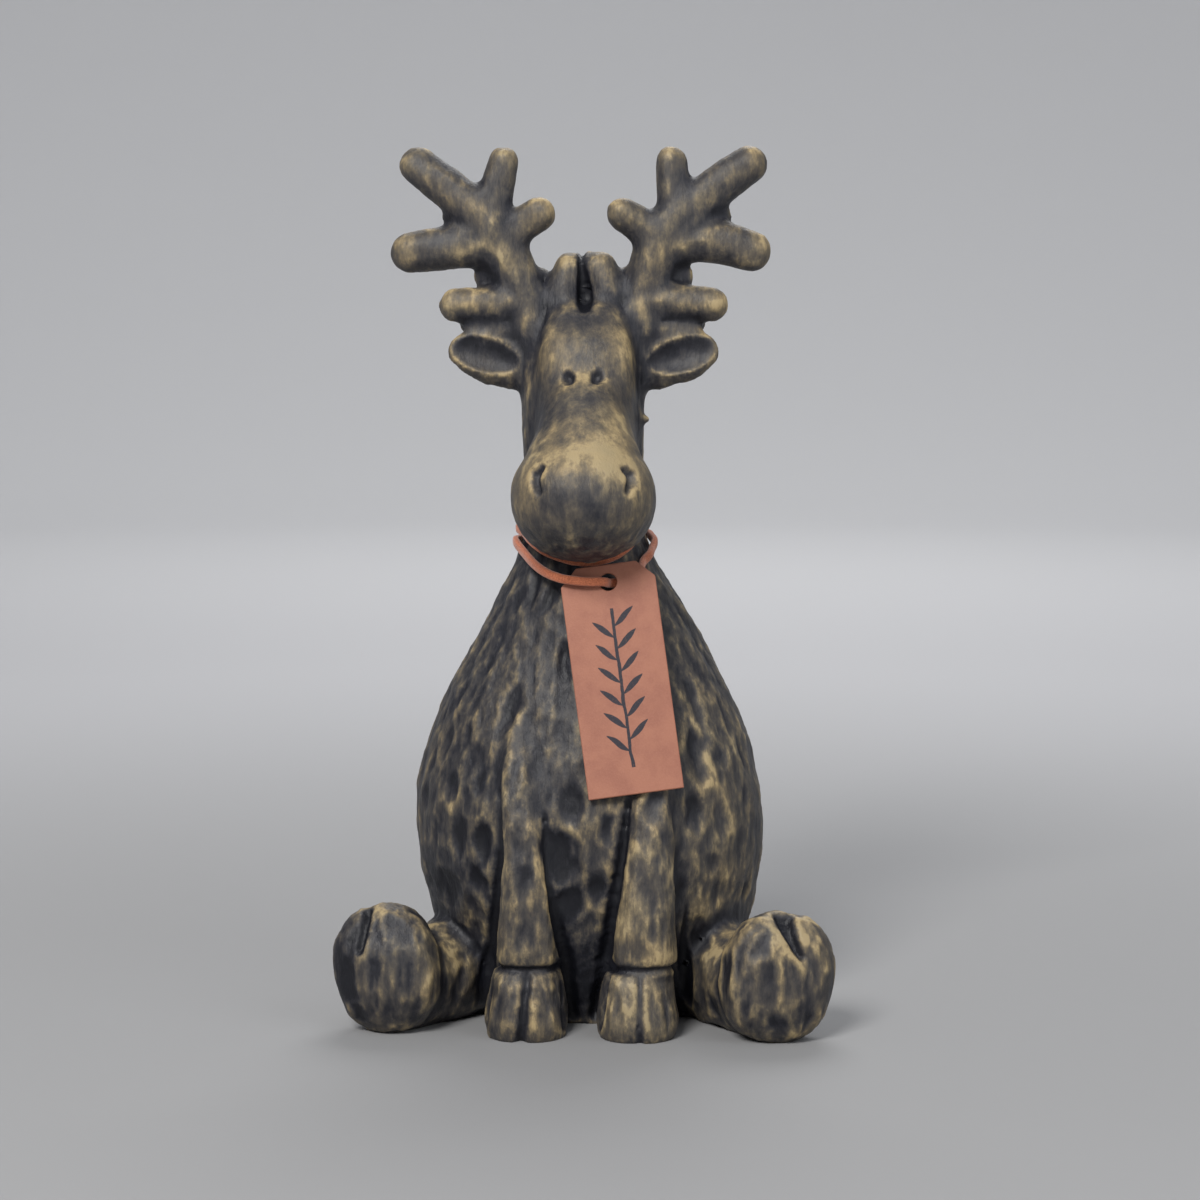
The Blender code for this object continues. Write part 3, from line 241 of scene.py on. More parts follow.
def add_tuft(bm):
    """Two thick locks of hair between the antlers, parted in the middle, with lower hair behind them."""
    limb(bm, [(-7.4, 2, 223, 6.4, 5.5), (-7.6, 2.5, 232, 6.4, 5.5), (-5.0, 3.5, 241.2, 5.6, 5.0)])
    limb(bm, [(7.0, 2, 223, 6.4, 5.5), (7.2, 2.5, 232, 6.4, 5.5), (4.2, 3.5, 241.4, 5.6, 5.0)])
    limb(bm, [(-0.3, 7, 220, 9, 5.0), (-0.3, 7, 241.0, 7.5, 4.5)])


# Antlers: every row is a limb of (x, y, z, radius) stations, root first
LEFT_ANTLER = (
    ((-14.0, 2, 212, 6.0), (-17.6, 2, 222, 6.8), (-21.5, 3, 235.5, 6.8), (-26.3, 3, 247, 7.1), (-31.7, 3, 256, 7.2),
     (-37.5, 3, 261, 6.6)),
    ((-36.2, 3, 259.5, 6.5), (-46.2, 4, 268, 6.2), (-54.5, 5, 274.3, 5.7)),
    ((-31.1, 3, 258, 6.0), (-28.8, 3, 267.2, 5.3), (-26.7, 3, 275.4, 4.5)),
    ((-25.3, 3, 250.5, 6.1), (-19.4, 2, 255.7, 5.3), (-14.9, 1, 258.6, 5.1)),
    ((-31.7, 3, 249.4, 6.8), (-43.3, 3, 247.8, 6.8), (-57.0, 3, 246.2, 6.2)),
    ((-18.8, 2, 230.8, 5.8), (-30.4, 1, 229.5, 5.3), (-42.5, 1, 229.5, 5.1)),
)
RIGHT_ANTLER = (
    ((13.0, 2, 212, 6.0), (16.6, 2, 222, 6.8), (19.1, 3, 235.5, 6.7), (22.6, 3, 246.3, 7.1), (27.7, 3, 255.2, 7.3),
     (33.1, 3, 260.3, 6.6)),
    ((32.5, 3, 259.2, 6.5), (43.0, 4, 268.1, 6.2), (52.2, 5, 274.4, 5.7)),
    ((29.9, 3, 258, 6.1), (28.0, 3, 266.8, 5.3), (27.3, 3, 275.4, 4.6)),
    ((22.0, 3, 250.6, 6.1), (16.2, 2, 255.7, 5.3), (11.4, 1, 258.6, 5.1)),
    ((30.0, 3, 250, 6.8), (41.5, 3, 249.6, 6.6), (53.0, 3, 246.5, 6.1)),
    ((17.2, 2, 230.8, 5.8), (29.4, 1, 230.5, 5.3), (40.5, 1, 229.6, 5.1)),
)
ANTLER_FLATNESS = 0.88
# What the gouges take off the antlers again
ANTLER_SWELL = 0.6

# Webs that fill the crotches of the antlers, set back: two stations of (x, z, radius) each
WEBS = (
    ((-37.8, 264.6, 4.8), (-34.5, 259, 4.8)),
    ((-24.0, 255.4, 4.4), (-26.4, 250.7, 4.4)),
    ((-43.4, 258.4, 4.2), (-37.7, 254.5, 4.4)),
    ((-33.3, 238.2, 4.8), (-24.9, 238.8, 6.0)),
    ((-15.8, 238.2, 4.6), (-13.6, 229, 4.6)),
    ((-38.6, 223.4, 3.4), (-20.0, 220.5, 5.0)),
    ((37.0, 264.6, 4.8), (33.8, 259, 4.8)),
    ((20.9, 255.6, 4.4), (23.5, 250.7, 4.4)),
    ((43.3, 258.4, 4.2), (37.6, 254.5, 4.4)),
    ((31.3, 238.0, 4.8), (23.5, 238.8, 6.0)),
    ((13.2, 238.2, 4.6), (11.3, 229, 4.6)),
    ((35.6, 223.4, 3.4), (18.8, 220.5, 5.0)),
)
WEB_THICKNESS = 2.4
WEB_Y = 5.5
# Folds between each lowest tine and the ear: root and tip as (distance from the middle line, y, z, radius)
EAR_FOLD = ((19.0, -1.2, 221.8, 2.3), (37.0, 0.6, 221.4, 1.8))


def add_antlers(bm):
    for antler in (LEFT_ANTLER, RIGHT_ANTLER):
        for tine in antler:
            fuller = [(x, y, z, r + ANTLER_SWELL) for x, y, z, r in tine]
            limb(bm, [(x, y, z, r, r * ANTLER_FLATNESS) for x, y, z, r in fuller])
    for web in WEBS:
        limb(bm, [(x, WEB_Y, z, r, WEB_THICKNESS) for x, z, r in web], step=1.0)
    for side in (-1, 1):
        limb(bm, [(HEAD_X + side * x, y, z, r, r) for x, y, z, r in EAR_FOLD], step=1.0)


# Ears: root to tip as (distance from the head's middle line, y, z, half height)
EAR = ((14.0, 3, 209.0, 6.5), (20.0, 2, 209.8, 8.0), (28.0, 1, 212.0, 8.8), (35.0, 0, 213.6, 7.6), (39.2, 0, 215.2, 5.6))
EAR_THICKNESS = 0.56


def add_ears(bm):
    for side in (-1, 1):
        limb(bm, [(HEAD_X + side * x, y, z, r, r * EAR_THICKNESS) for x, y, z, r in EAR])


# Forelegs: (x, y, z, half width, half depth) from the shoulder down to just above the hoof
FORELEGS = (
    ((-20.0, -24, 98, 5.0, 8.0), (-19.4, -31, 78, 7.2, 10.5), (-18.0, -35.5, 60, 8.2, 11.0),
     (-17.2, -37.5, 44, 9.4, 11.0), (-17.0, -38, 26, 10.6, 11.0)),
    ((22.4, -24, 98, 5.0, 8.0), (21.9, -31, 78, 7.4, 10.5), (21.0, -35.5, 60, 8.4, 11.0),
     (20.4, -37.5, 44, 9.4, 11.0), (19.8, -38, 26, 10.6, 11.0)),
)
# Front hooves: (middle x, half width at the ground line)
HOOVES = ((-17.5, 13.1), (17.6, 12.9))
# Each level of a hoof: (z, how much narrower on each side than at the ground line, front y, back y)
HOOF_LEVELS = (
    (-4, 2.6, -47.0, -26.0), (0, 0.9, -50.4, -24.0), (4, -0.2, -51.8, -23.0), (9, 0.2, -51.6, -23.0),
    (15, 1.1, -50.4, -24.0), (19, 1.8, -49.2, -25.0), (21.4, 2.8, -47.5, -27.0),
)
SQUARER = 2.3
ANKLE = 22.4


def add_forelegs(bm):
    for leg in FORELEGS:
        limb(bm, leg, power=2.8)
    for x, half in HOOVES:
        levels = [(z, x, half - narrower, front, back) for z, narrower, front, back in HOOF_LEVELS]
        stack(bm, levels, power=SQUARER, step=1.5)


# Hind feet: centre, radii and turn of each egg-shaped foot, then its leg from the hip
FEET = (
    ((-62.0, -34.0, 20.2), (17.8, 12.8, 20.8), (-4, -13, -14)),
    ((61.4, -42.0, 20.2), (18.8, 13.0, 21.0), (-4, 12, 12)),
)
HIND_LEGS = (
    ((-28, 14, 20, 17, 22), (-42, -10, 15.5, 15.5, 18.5), (-56, -29, 13.5, 12.5, 15.0)),
    ((30, 14, 20, 17, 22), (42, -12, 15.5, 15.5, 18.5), (56, -36, 13.5, 12.5, 15.0)),
)


def add_hind_legs(bm):
    for (centre, radii, turn), leg in zip(FEET, HIND_LEGS):
        egg(bm, centre, radii, turn, power=SQUARER)
        limb(bm, leg, flat=(0, 0, 1))


def add_tail(bm):
    limb(bm, [(1, 44, 24, 5.5, 5.5), (1, 50.5, 20, 5.0, 4.5), (1, 52.0, 12, 3.2, 3.0)])


def evaluated_copy(obj):
    """The mesh that obj's modifiers make, as a new mesh."""
    graph = bpy.context.evaluated_depsgraph_get()
    return bpy.data.meshes.new_from_object(obj.evaluated_get(graph))


def keep_outer_skin(mesh):
    """Fills the hollows that fused forms close in, by dropping every skin but the largest."""
    bm = bmesh.new()
    bm.from_mesh(mesh)
    seen = set()
    skins = []
    for first in bm.verts:
        if first in seen:
            continue
        seen.add(first)
        found = [first]
        for vertex in found:
            for edge in vertex.link_edges:
                other = edge.other_vert(vertex)
                if other not in seen:
                    seen.add(other)
                    found.append(other)
        skins.append(found)
    skins.sort(key=len)
    for hollow in skins[:-1]:
        bmesh.ops.delete(bm, geom=hollow, context="VERTS")
    bm.to_mesh(mesh)
    bm.free()


def rough_figure():
    """All the forms fused into one closed skin, in modules."""
    bm = bmesh.new()
    for add in (add_body, add_head, add_tuft, add_antlers, add_ears, add_forelegs, add_hind_legs, add_tail):
        add(bm)
    forms = bpy.data.meshes.new("forms")
    bm.to_mesh(forms)
    bm.free()
    helper = bpy.data.objects.new("forms", forms)
    bpy.context.scene.collection.objects.link(helper)
    fuse = helper.modifiers.new("fuse", "REMESH")
    fuse.mode = "VOXEL"
    fuse.voxel_size = VOXEL
    mesh = evaluated_copy(helper)
    bpy.data.objects.remove(helper)
    keep_outer_skin(mesh)
    return mesh

class Surface:
    """The figure's points and faces as arrays, with what the sculpting steps need."""

    def __init__(self, mesh):
        self.mesh = mesh
        self.points = np.empty(len(mesh.vertices) * 3)
        mesh.vertices.foreach_get("co", self.points)
        self.points = self.points.reshape(-1, 3)
        edges = np.empty(len(mesh.edges) * 2, np.int32)
        mesh.edges.foreach_get("vertices", edges)
        self.edges = edges.reshape(-1, 2)
        mesh.calc_loop_triangles()
        faces = np.empty(len(mesh.loop_triangles) * 3, np.int32)
        mesh.loop_triangles.foreach_get("vertices", faces)
        self.faces = faces.reshape(-1, 3)
        self.count = np.bincount(self.edges.ravel(), minlength=len(self.points))

    def average(self, values):
        """Each point's mean over its neighbours."""
        a, b = self.edges.T
        total = np.empty_like(values)
        for k in range(values.shape[1]):
            total[:, k] = np.bincount(a, values[b, k], len(values))
            total[:, k] += np.bincount(b, values[a, k], len(values))
        return total / self.count[:, None]

    def normals(self):
        a, b, c = (self.points[self.faces[:, k]] for k in range(3))
        cross = np.cross(b - a, c - a)
        total = np.zeros_like(self.points)
        for corner in range(3):
            for k in range(3):
                total[:, k] += np.bincount(self.faces[:, corner], cross[:, k], len(total))
        return total / np.maximum(np.linalg.norm(total, axis=1), 1e-12)[:, None]

    def relax(self, rounds):
        for _ in range(rounds):
            self.points += 0.5 * (self.average(self.points) - self.points)

    def fill_creases(self, rounds, share):
        """Rounds out the inner corners between forms, and leaves what bulges alone."""
        for _ in range(rounds):
            normals = self.normals()
            rise = ((self.average(self.points) - self.points) * normals).sum(1)
            self.points += normals * (0.7 * share * np.maximum(rise, 0))[:, None]

    def tree(self):
        return BVHTree.FromPolygons(self.points.tolist(), self.faces.tolist())

    def store(self):
        self.mesh.vertices.foreach_set("co", self.points.ravel())
        self.mesh.update()


def soft_step(value, low, high):
    """0 below low, 1 above high, and smooth between them."""
    u = np.clip((value - low) / (high - low), 0, 1)
    return u * u * (3 - 2 * u)


def fold_share(points):
    """How much of each inner corner is rounded out: most of it from the neck to the brow, and little elsewhere."""
    rise = soft_step(points[:, 2], 95, 135) - 0.6 * soft_step(points[:, 2], 205, 218)
    return 0.1 + 0.8 * rise

def smoothed(surface, values, rounds):
    for _ in range(rounds):
        values = surface.average(values)
    return values


def rounds_for(spread):
    """How many rounds of averaging spread a value over about so many modules."""
    return round((spread / (0.6 * VOXEL)) ** 2)


# How far the outlines of the scoops stray, and over what length, and how far their ridges are softened, in modules
SCOOP_WANDER = 1.5
SCOOP_WANDER_PITCH = 6.0
SCOOP_SOFTNESS = 0.6


class Scoops:
    """Gouge marks. Where scoops overlap, the deeper one counts, which leaves ridges between them."""

    def __init__(self, surface):
        self.surface = surface
        self.normals = surface.normals()
        self.tree = surface.tree()
        self.finder = KDTree(len(surface.points))
        for k, p in enumerate(surface.points):
            self.finder.insert(p, k)
        self.finder.balance()
        self.depth = np.zeros(len(surface.points))
        noise.seed_set(SEED)
        wander = [noise.noise_vector(p) for p in (surface.points / SCOOP_WANDER_PITCH).tolist()]
        self.wander = np.array(wander) * SCOOP_WANDER
        self.dice = random.Random(SEED)

    def cut(self, place, normal, along, half_length, half_width, depth):
        """One scoop, deepest towards its upper end."""
        across = normal.cross(along).normalized()
        found = self.finder.find_range(place, 1.1 * max(half_length, half_width))
        near = np.array([k for _, k, _ in found], int)
        near = near[self.normals[near] @ np.array(normal) > 0.25]
        offset = self.surface.points[near] + self.wander[near] - np.array(place)
        u = offset @ np.array(along) / half_length
        v = offset @ np.array(across) / half_width
        bowl = (1 - u * u - v * v) * (1 + 0.35 * u)
        self.depth[near] = np.maximum(self.depth[near], depth * bowl)

    def shoot(self, start, direction, reach, grain, half_length, width, depth, share=None):
        """A scoop where the ray from start leaves the figure, running along grain."""
        tilt = self.dice.uniform(-0.16, 0.16)
        size = self.dice.uniform(0.82, 1.18)
        wide = self.dice.uniform(0.85, 1.15)
        deep = self.dice.uniform(0.65, 1.2)
        direction = Vector(direction).normalized()
        far = Vector(start) + direction * reach
        place, normal, _, _ = self.tree.ray_cast(far, -direction, reach)
        if place is None or normal.dot(direction) < 0.15:
            return
        along = Vector(grain) - normal * normal.dot(Vector(grain))
        if along.length < 0.2:
            return
        along.normalize()
        along = (along + tilt * normal.cross(along)).normalized()
        if share:
            deep *= share(place, normal)
        self.cut(place, normal, along, half_length * size, width * wide, depth * deep)

    def around(self, axis, pitch, count, half_length, fill, depth, reach, share=None):
        """Rows of scoops round an axis of (x, y, z, radius) stations; their width follows the radius."""
        stations = np.array(axis, float)
        steps = np.linalg.norm(np.diff(stations[:, :3], axis=0), axis=1)
        along = np.concatenate([[0], np.cumsum(steps)])
        rows = max(1, round(along[-1] / pitch))
        for row in range(rows):
            for k in range(count):
                s = (row + 0.5 + (k % 2) * 0.5 + self.dice.uniform(-0.22, 0.22)) * along[-1] / rows
                turn = 2 * math.pi * (k + self.dice.uniform(-0.2, 0.2)) / count
                at = [np.interp(s, along, stations[:, j]) for j in range(4)]
                ahead = [np.interp(s + 1, along, stations[:, j]) for j in range(3)]
                back = [np.interp(s - 1, along, stations[:, j]) for j in range(3)]
                grain = (Vector(ahead) - Vector(back)).normalized()
                side = grain.orthogonal().normalized()
                out = side * math.cos(turn) + grain.cross(side) * math.sin(turn)
                upward = grain if grain.z >= 0 else -grain
                width = fill * math.pi * at[3] / count
                self.shoot(at[:3], out, at[3] * reach, upward, half_length, width, depth, share)

    def on_front(self, x, z, half_width, half_length, lean, depth):
        """A scoop on the front at x and z, whose upper end leans by so many degrees."""
        place, normal, _, _ = self.tree.ray_cast(Vector((x, -MODULES_TALL, z)), Vector((0, 1, 0)))
        if place is None:
            return
        grain = Vector((math.sin(math.radians(lean)), 0, math.cos(math.radians(lean))))
        along = (grain - normal * normal.dot(grain)).normalized()
        self.cut(place, normal, along, half_length, half_width, depth)


# Axes for the gouge marks: (x, y, z, radius) stations
BODY_AXIS = ((1, 6, 8, 48), (1, 6, 50, 53), (1, 5, 85, 49), (0, 5, 110, 40), (0, 4, 130, 30), (0, 3, 150, 22))
HEAD_AXIS = ((HEAD_X, -2, 152, 21), (HEAD_X, -2, 178, 20), (HEAD_X, -1, 222, 19))
SNOUT_AXIS = ((HEAD_X, -6, 205, 17), (HEAD_X, -26, 180, 19), (HEAD_X, -36, 160, 20))

# Scoops on the front of the body and legs: (x, z, half width, half length, lean in degrees, depth)
FRONT_SCOOPS = (
    (-24, 101, 2.6, 9, 8, 1.9), (-22, 81, 2.3, 8, 6, 1.2), (-43, 75, 2.9, 6, 0, 1.6), (-33, 78, 3.4, 6, 5, 1.2),
    (-40, 61, 3.6, 7, 8, 1.7), (-32, 59, 3.8, 7, -3, 2.4), (-52, 72, 2.2, 6, 0, 1.1), (-45, 89, 2.8, 6, 8, 1.4),
    (-40, 106, 2.4, 7, 15, 1.2), (-38, 91, 2.2, 6, 8, 1.1), (-44, 43, 6.0, 6, -10, 2.0), (-33, 46, 3.6, 6, -25, 1.9),
    (-35, 103, 2.0, 7, 14, 1.0), (-32, 113, 2.2, 8, 16, 1.0), (-28, 121, 2.0, 8, 15, 0.9), (-22, 120, 2.4, 9, 10, 0.8),
    (-17, 111, 2.8, 9, 6, 0.9), (-17, 97, 2.8, 8, 4, 0.9), (-15, 85, 2.8, 7, 3, 0.9), (-50, 82, 2.0, 6, 5, 1.0),
    (-48, 59, 2.2, 6, 0, 1.0), (-6, 116, 2.3, 7, -3, 1.7), (-7, 106, 2.8, 7, 0, 0.9), (-7, 92, 3.3, 8, 0, 1.1),
    (-5, 82, 2.8, 6, 0, 0.8), (-3, 74, 3.9, 7, -5, 2.0), (-5, 56, 4.9, 9, -12, 2.4), (-3, 42, 4.0, 6, 0, 1.7),
    (5, 46, 3.7, 6, 8, 1.9), (8, 65, 3.1, 5.5, -3, 1.5), (-19, 65, 3.0, 7, 0, 1.0), (-18, 50, 3.2, 7, 0, 0.9),
    (-13, 39, 2.6, 6, 0, 0.8), (-22, 37, 2.4, 6, 0, 0.8), (-17, 140, 2.4, 9, 8, 1.7), (-11, 136, 2.2, 8, 25, 1.5),
    (-25, 139, 2.0, 8, 18, 0.9), (-29, 130, 2.0, 8, 22, 0.9), (-22, 134, 2.2, 8, 14, 0.9), (-15, 127, 2.4, 8, 8, 0.9),
    (36, 103, 2.3, 9, -10, 1.6), (37, 87, 3.4, 8.5, -8, 2.2), (36, 69, 3.6, 7, -3, 1.8), (44, 66, 3.4, 6.5, -3, 1.3),
    (22, 73, 3.1, 6, 5, 1.6), (44, 84, 3.1, 7, -8, 1.0), (29, 104, 2.8, 9, -4, 1.0), (52, 40, 2.0, 4, 5, 1.5),
    (41, 53, 3.8, 4, 0, 1.2), (25, 58, 2.9, 6, 0, 0.9), (31, 44, 2.9, 6, 0, 0.9), (21, 46, 2.9, 7, 0, 0.9),
    (52, 70, 2.4, 7, 0, 1.0), (46, 97, 2.2, 8, -12, 0.9), (42, 112, 2.0, 9, -18, 0.9), (32, 129, 2.0, 8, -18, 0.9),
    (37, 120, 2.0, 8, -20, 0.9), (43, 42, 3.4, 5, 0, 1.0), (51, 86, 2.2, 6, -5, 1.0), (29, 71, 2.8, 7, 0, 0.9),
    (49, 55, 2.6, 5, 0, 0.9), (29, 88, 2.4, 8, -2, 0.9), (26, 120, 2.2, 8, -14, 0.9), (22, 33, 2.6, 6, 0, 0.7),
    (15, 112, 2.8, 8, 0, 0.9), (6, 104, 2.8, 8, 0, 0.9), (18, 96, 2.8, 8, 0, 0.9), (7, 88, 2.8, 8, 0, 0.9),
)
# Scoops on the soles of the hind feet, the thighs and the hooves
FOOT_SCOOPS = (
    (-65, 31, 3.4, 7, -14, 1.0), (-57, 33, 3.6, 7, -30, 1.0), (-63, 19, 4.6, 8, -6, 0.9), (-55, 20, 4.2, 8, -14, 1.0),
    (-60, 8, 4.6, 6, -6, 0.7), (-52, 9, 2.8, 6, -6, 0.7), (-72, 30, 2.4, 8, 10, 1.4), (-74, 16, 3.0, 9, -12, 1.5),
    (-70, 6, 3.0, 6, -20, 1.2), (56, 31, 3.4, 7, 12, 0.9), (58, 18, 4.6, 9, 4, 1.1), (66, 20, 4.0, 9, -6, 1.0),
    (72, 26, 3.0, 8, -16, 1.0), (52, 14, 3.0, 8, 8, 0.8), (61, 6, 3.2, 5, -4, 1.1), (70, 9, 3.0, 6, -10, 0.8),
    (49, 26, 2.4, 8, 12, 0.9), (-40, 27, 6.0, 7, 14, 1.0), (-33, 29, 3.6, 6, -30, 1.0), (-40, 11, 3.0, 8, 24, 1.2),
    (-33, 10, 2.6, 8, 10, 1.2), (37, 27, 4.2, 6, -16, 1.1), (44, 20, 3.4, 9, -14, 1.4), (36, 13, 3.6, 9, -20, 1.5),
    (42, 6, 3.0, 6, -24, 1.2), (-22, 11, 2.6, 8, 3, 0.6), (-11, 11, 2.8, 8, -3, 0.7), (-26, 9, 2.0, 7, 6, 0.6),
    (12, 11, 2.8, 8, 2, 0.6), (23, 11, 2.8, 8, -2, 0.7), (27, 9, 2.0, 7, -6, 0.6), (8, 9, 2.0, 7, 5, 0.6),
)


# The placed scoops are this much wider and longer than the marks that they leave
SCOOP_SPREAD = 1.4
SCOOP_DEPTH = 1.15
FRONT_SHARE = 0.6


def front_share(place, normal):
    """Between the placed scoops on the front, and along its outline, the others are shallower."""
    return FRONT_SHARE if normal.y < 0.35 else 1.0


def flat_share(place, normal):
    """On slender forms the scoops stay off the edges."""
    return 1.0 if abs(normal.y) > 0.6 else 0.15


def gouge(scoops):
    scoops.around(BODY_AXIS, 12.5, 30, 11.5, 1.5, 1.5, 1.28, front_share)
    scoops.around(HEAD_AXIS, 15, 14, 14.0, 1.4, 0.45, 1.5, front_share)
    scoops.around(SNOUT_AXIS, 13, 14, 12.0, 1.4, 0.25, 1.6)
    for antler in (LEFT_ANTLER, RIGHT_ANTLER):
        for tine in antler:
            scoops.around(tine, 13, 6, 14.0, 1.5, 0.5, 1.4, flat_share)
    for leg in FORELEGS:
        scoops.around([(x, y, z, w) for x, y, z, w, _ in leg], 15, 8, 15, 1.4, 0.6, 1.6, flat_share)
    for x, half in HOOVES:
        scoops.around([(x, -37, 2, half), (x, -37, 20, half - 1.5)], 16, 14, 12, 1.4, 0.5, 1.3, flat_share)
    for (centre, radii, _), leg in zip(FEET, HIND_LEGS):
        low, high = centre[2] - radii[2] + 4, centre[2] + radii[2] - 4
        scoops.around([(centre[0], centre[1], low, 15), (centre[0], centre[1], high, 15)],
                      11, 11, 10, 1.5, 1.2, 1.6, front_share)
        scoops.around([(x, y, z, w) for x, y, z, w, _ in leg], 12, 10, 10, 1.5, 1.3, 1.4, front_share)
    for x, z, half_width, half_length, lean, depth in FRONT_SCOOPS + FOOT_SCOOPS:
        scoops.on_front(x, z, half_width * SCOOP_SPREAD, half_length * SCOOP_SPREAD, lean, depth * SCOOP_DEPTH)


# Half width from which a drawn line is cut to its full depth
WIDE_LINE = 1.2


def front_line(points, normals, line, depth):
    """Depth of a steep-sided cut along a line drawn on the front, shallower where the line is thin."""
    total = np.zeros(len(points))
    facing = np.clip(-normals[:, 1] * 4, 0, 1) * soft_step(line[0][3] - points[:, 1], 0, 4)
    for (x0, z0, w0, _), (x1, z1, w1, _) in zip(line, line[1:]):
        px, pz = points[:, 0] - x0, points[:, 2] - z0
        dx, dz = x1 - x0, z1 - z0
        share = np.clip((px * dx + pz * dz) / (dx * dx + dz * dz), 0, 1)
        half = w0 + share * (w1 - w0)
        away = np.hypot(px - share * dx, pz - share * dz) / half
        fading = np.clip(half / WIDE_LINE, 0, 1)
        total = np.maximum(total, depth * fading * np.clip(1 - away ** 4, 0, 1) * facing)
    return total


def ankle_depth(points):
    """The level ring cut between each foreleg and its hoof."""
    total = np.zeros(len(points))
    for x, half in HOOVES:
        away = np.hypot((points[:, 0] - x) / half, (points[:, 1] + 37) / 16)
        beside = soft_step(-points[:, 1], 28, 32) * (away < 1.05)
        off = (points[:, 2] - ANKLE) / 1.4
        total = np.maximum(total, 2.6 * beside * np.clip(1 - off * off, 0, 1))
    return total


# Cuts drawn on the front: stations of (x, z, half width, furthest back y), and the depth of each cut
CLEFTS = (
    (((-16.6, 20.5, 1.5, -40), (-18.8, -1, 2.1, -40)), 2.4),
    (((18.6, 20.5, 1.2, -40), (18.7, -1, 1.3, -40)), 1.6),
    (((-67.6, 43, 1.7, -20), (-70.4, 28, 1.7, -20)), 3.2),
    (((63.2, 41, 3.2, -20), (69.1, 28.6, 1.3, -20)), 4.0),
)
LEG_GROOVES = (
    (((-26.6, 78, 0.6, -20), (-26.2, 59, 1.2, -20), (-28.2, 41, 1.7, -20),
      (-30.2, 23, 2.4, -20), (-32, 3, 2.4, -20)), 2.8),
    (((-11.4, 71, 0.6, -20), (-9.4, 50, 1.0, -20), (-6.6, 34, 1.4, -20),
      (-4.6, 22, 2.0, -20), (-3.4, 3, 2.2, -20)), 2.6),
    (((14.6, 75, 0.8, -20), (12.4, 60, 1.3, -20), (9.4, 42, 1.7, -20),
      (7.2, 23, 2.2, -20), (3.8, 3, 2.2, -20)), 3.2),
    (((33.4, 40, 0.6, -20), (32.8, 31, 1.4, -20), (32.2, 21, 2.0, -20), (32.4, 3, 2.2, -20)), 2.2),
)


def ear_hollow(points, normals):
    """How deep each ear is hollowed, on its front."""
    total = np.zeros(len(points))
    for side in (-1, 1):
        root, tip = (np.array((HEAD_X + side * EAR[k][0], 0, EAR[k][2])) for k in (1, 4))
        axis = (tip - root) / np.linalg.norm(tip - root)
        up = np.array((-axis[2] * side, 0, axis[0] * side))
        middle = root + axis * np.linalg.norm(tip - root) * 0.62
        flat = points * (1, 0, 1) - middle * (1, 0, 1)
        u, v = flat @ axis / 11.5, (flat @ up - 0.3) / 5.6
        inside = np.clip(1 - u * u - v * v, 0, 1) ** 0.9
        facing = np.clip(-normals[:, 1] * 3, 0, 1) * (np.abs(points[:, 1]) < 9)
        total = np.maximum(total, 3.4 * inside * facing)
    return total


def parting_depth(points):
    """The narrow wedge between the two locks of the tuft."""
    rise = np.clip((points[:, 2] - 228) / 18, 0, 1)
    half = 2.2 * (1 - rise) + 0.8
    off = (points[:, 0] - HEAD_X - 0.8 + 1.6 * rise) / half
    high = soft_step(points[:, 2], 226, 230) * (points[:, 1] < 9)
    return high * 2.4 * np.clip(1 - off * off, 0, 1)

def rgb(*levels):
    """A colour picked in screen levels 0 to 255, as the shader's linear values."""
    linear = [((v / 255 + 0.055) / 1.055) ** 2.4 if v > 10 else v / 255 / 12.92 for v in levels]
    return (*linear, 1)


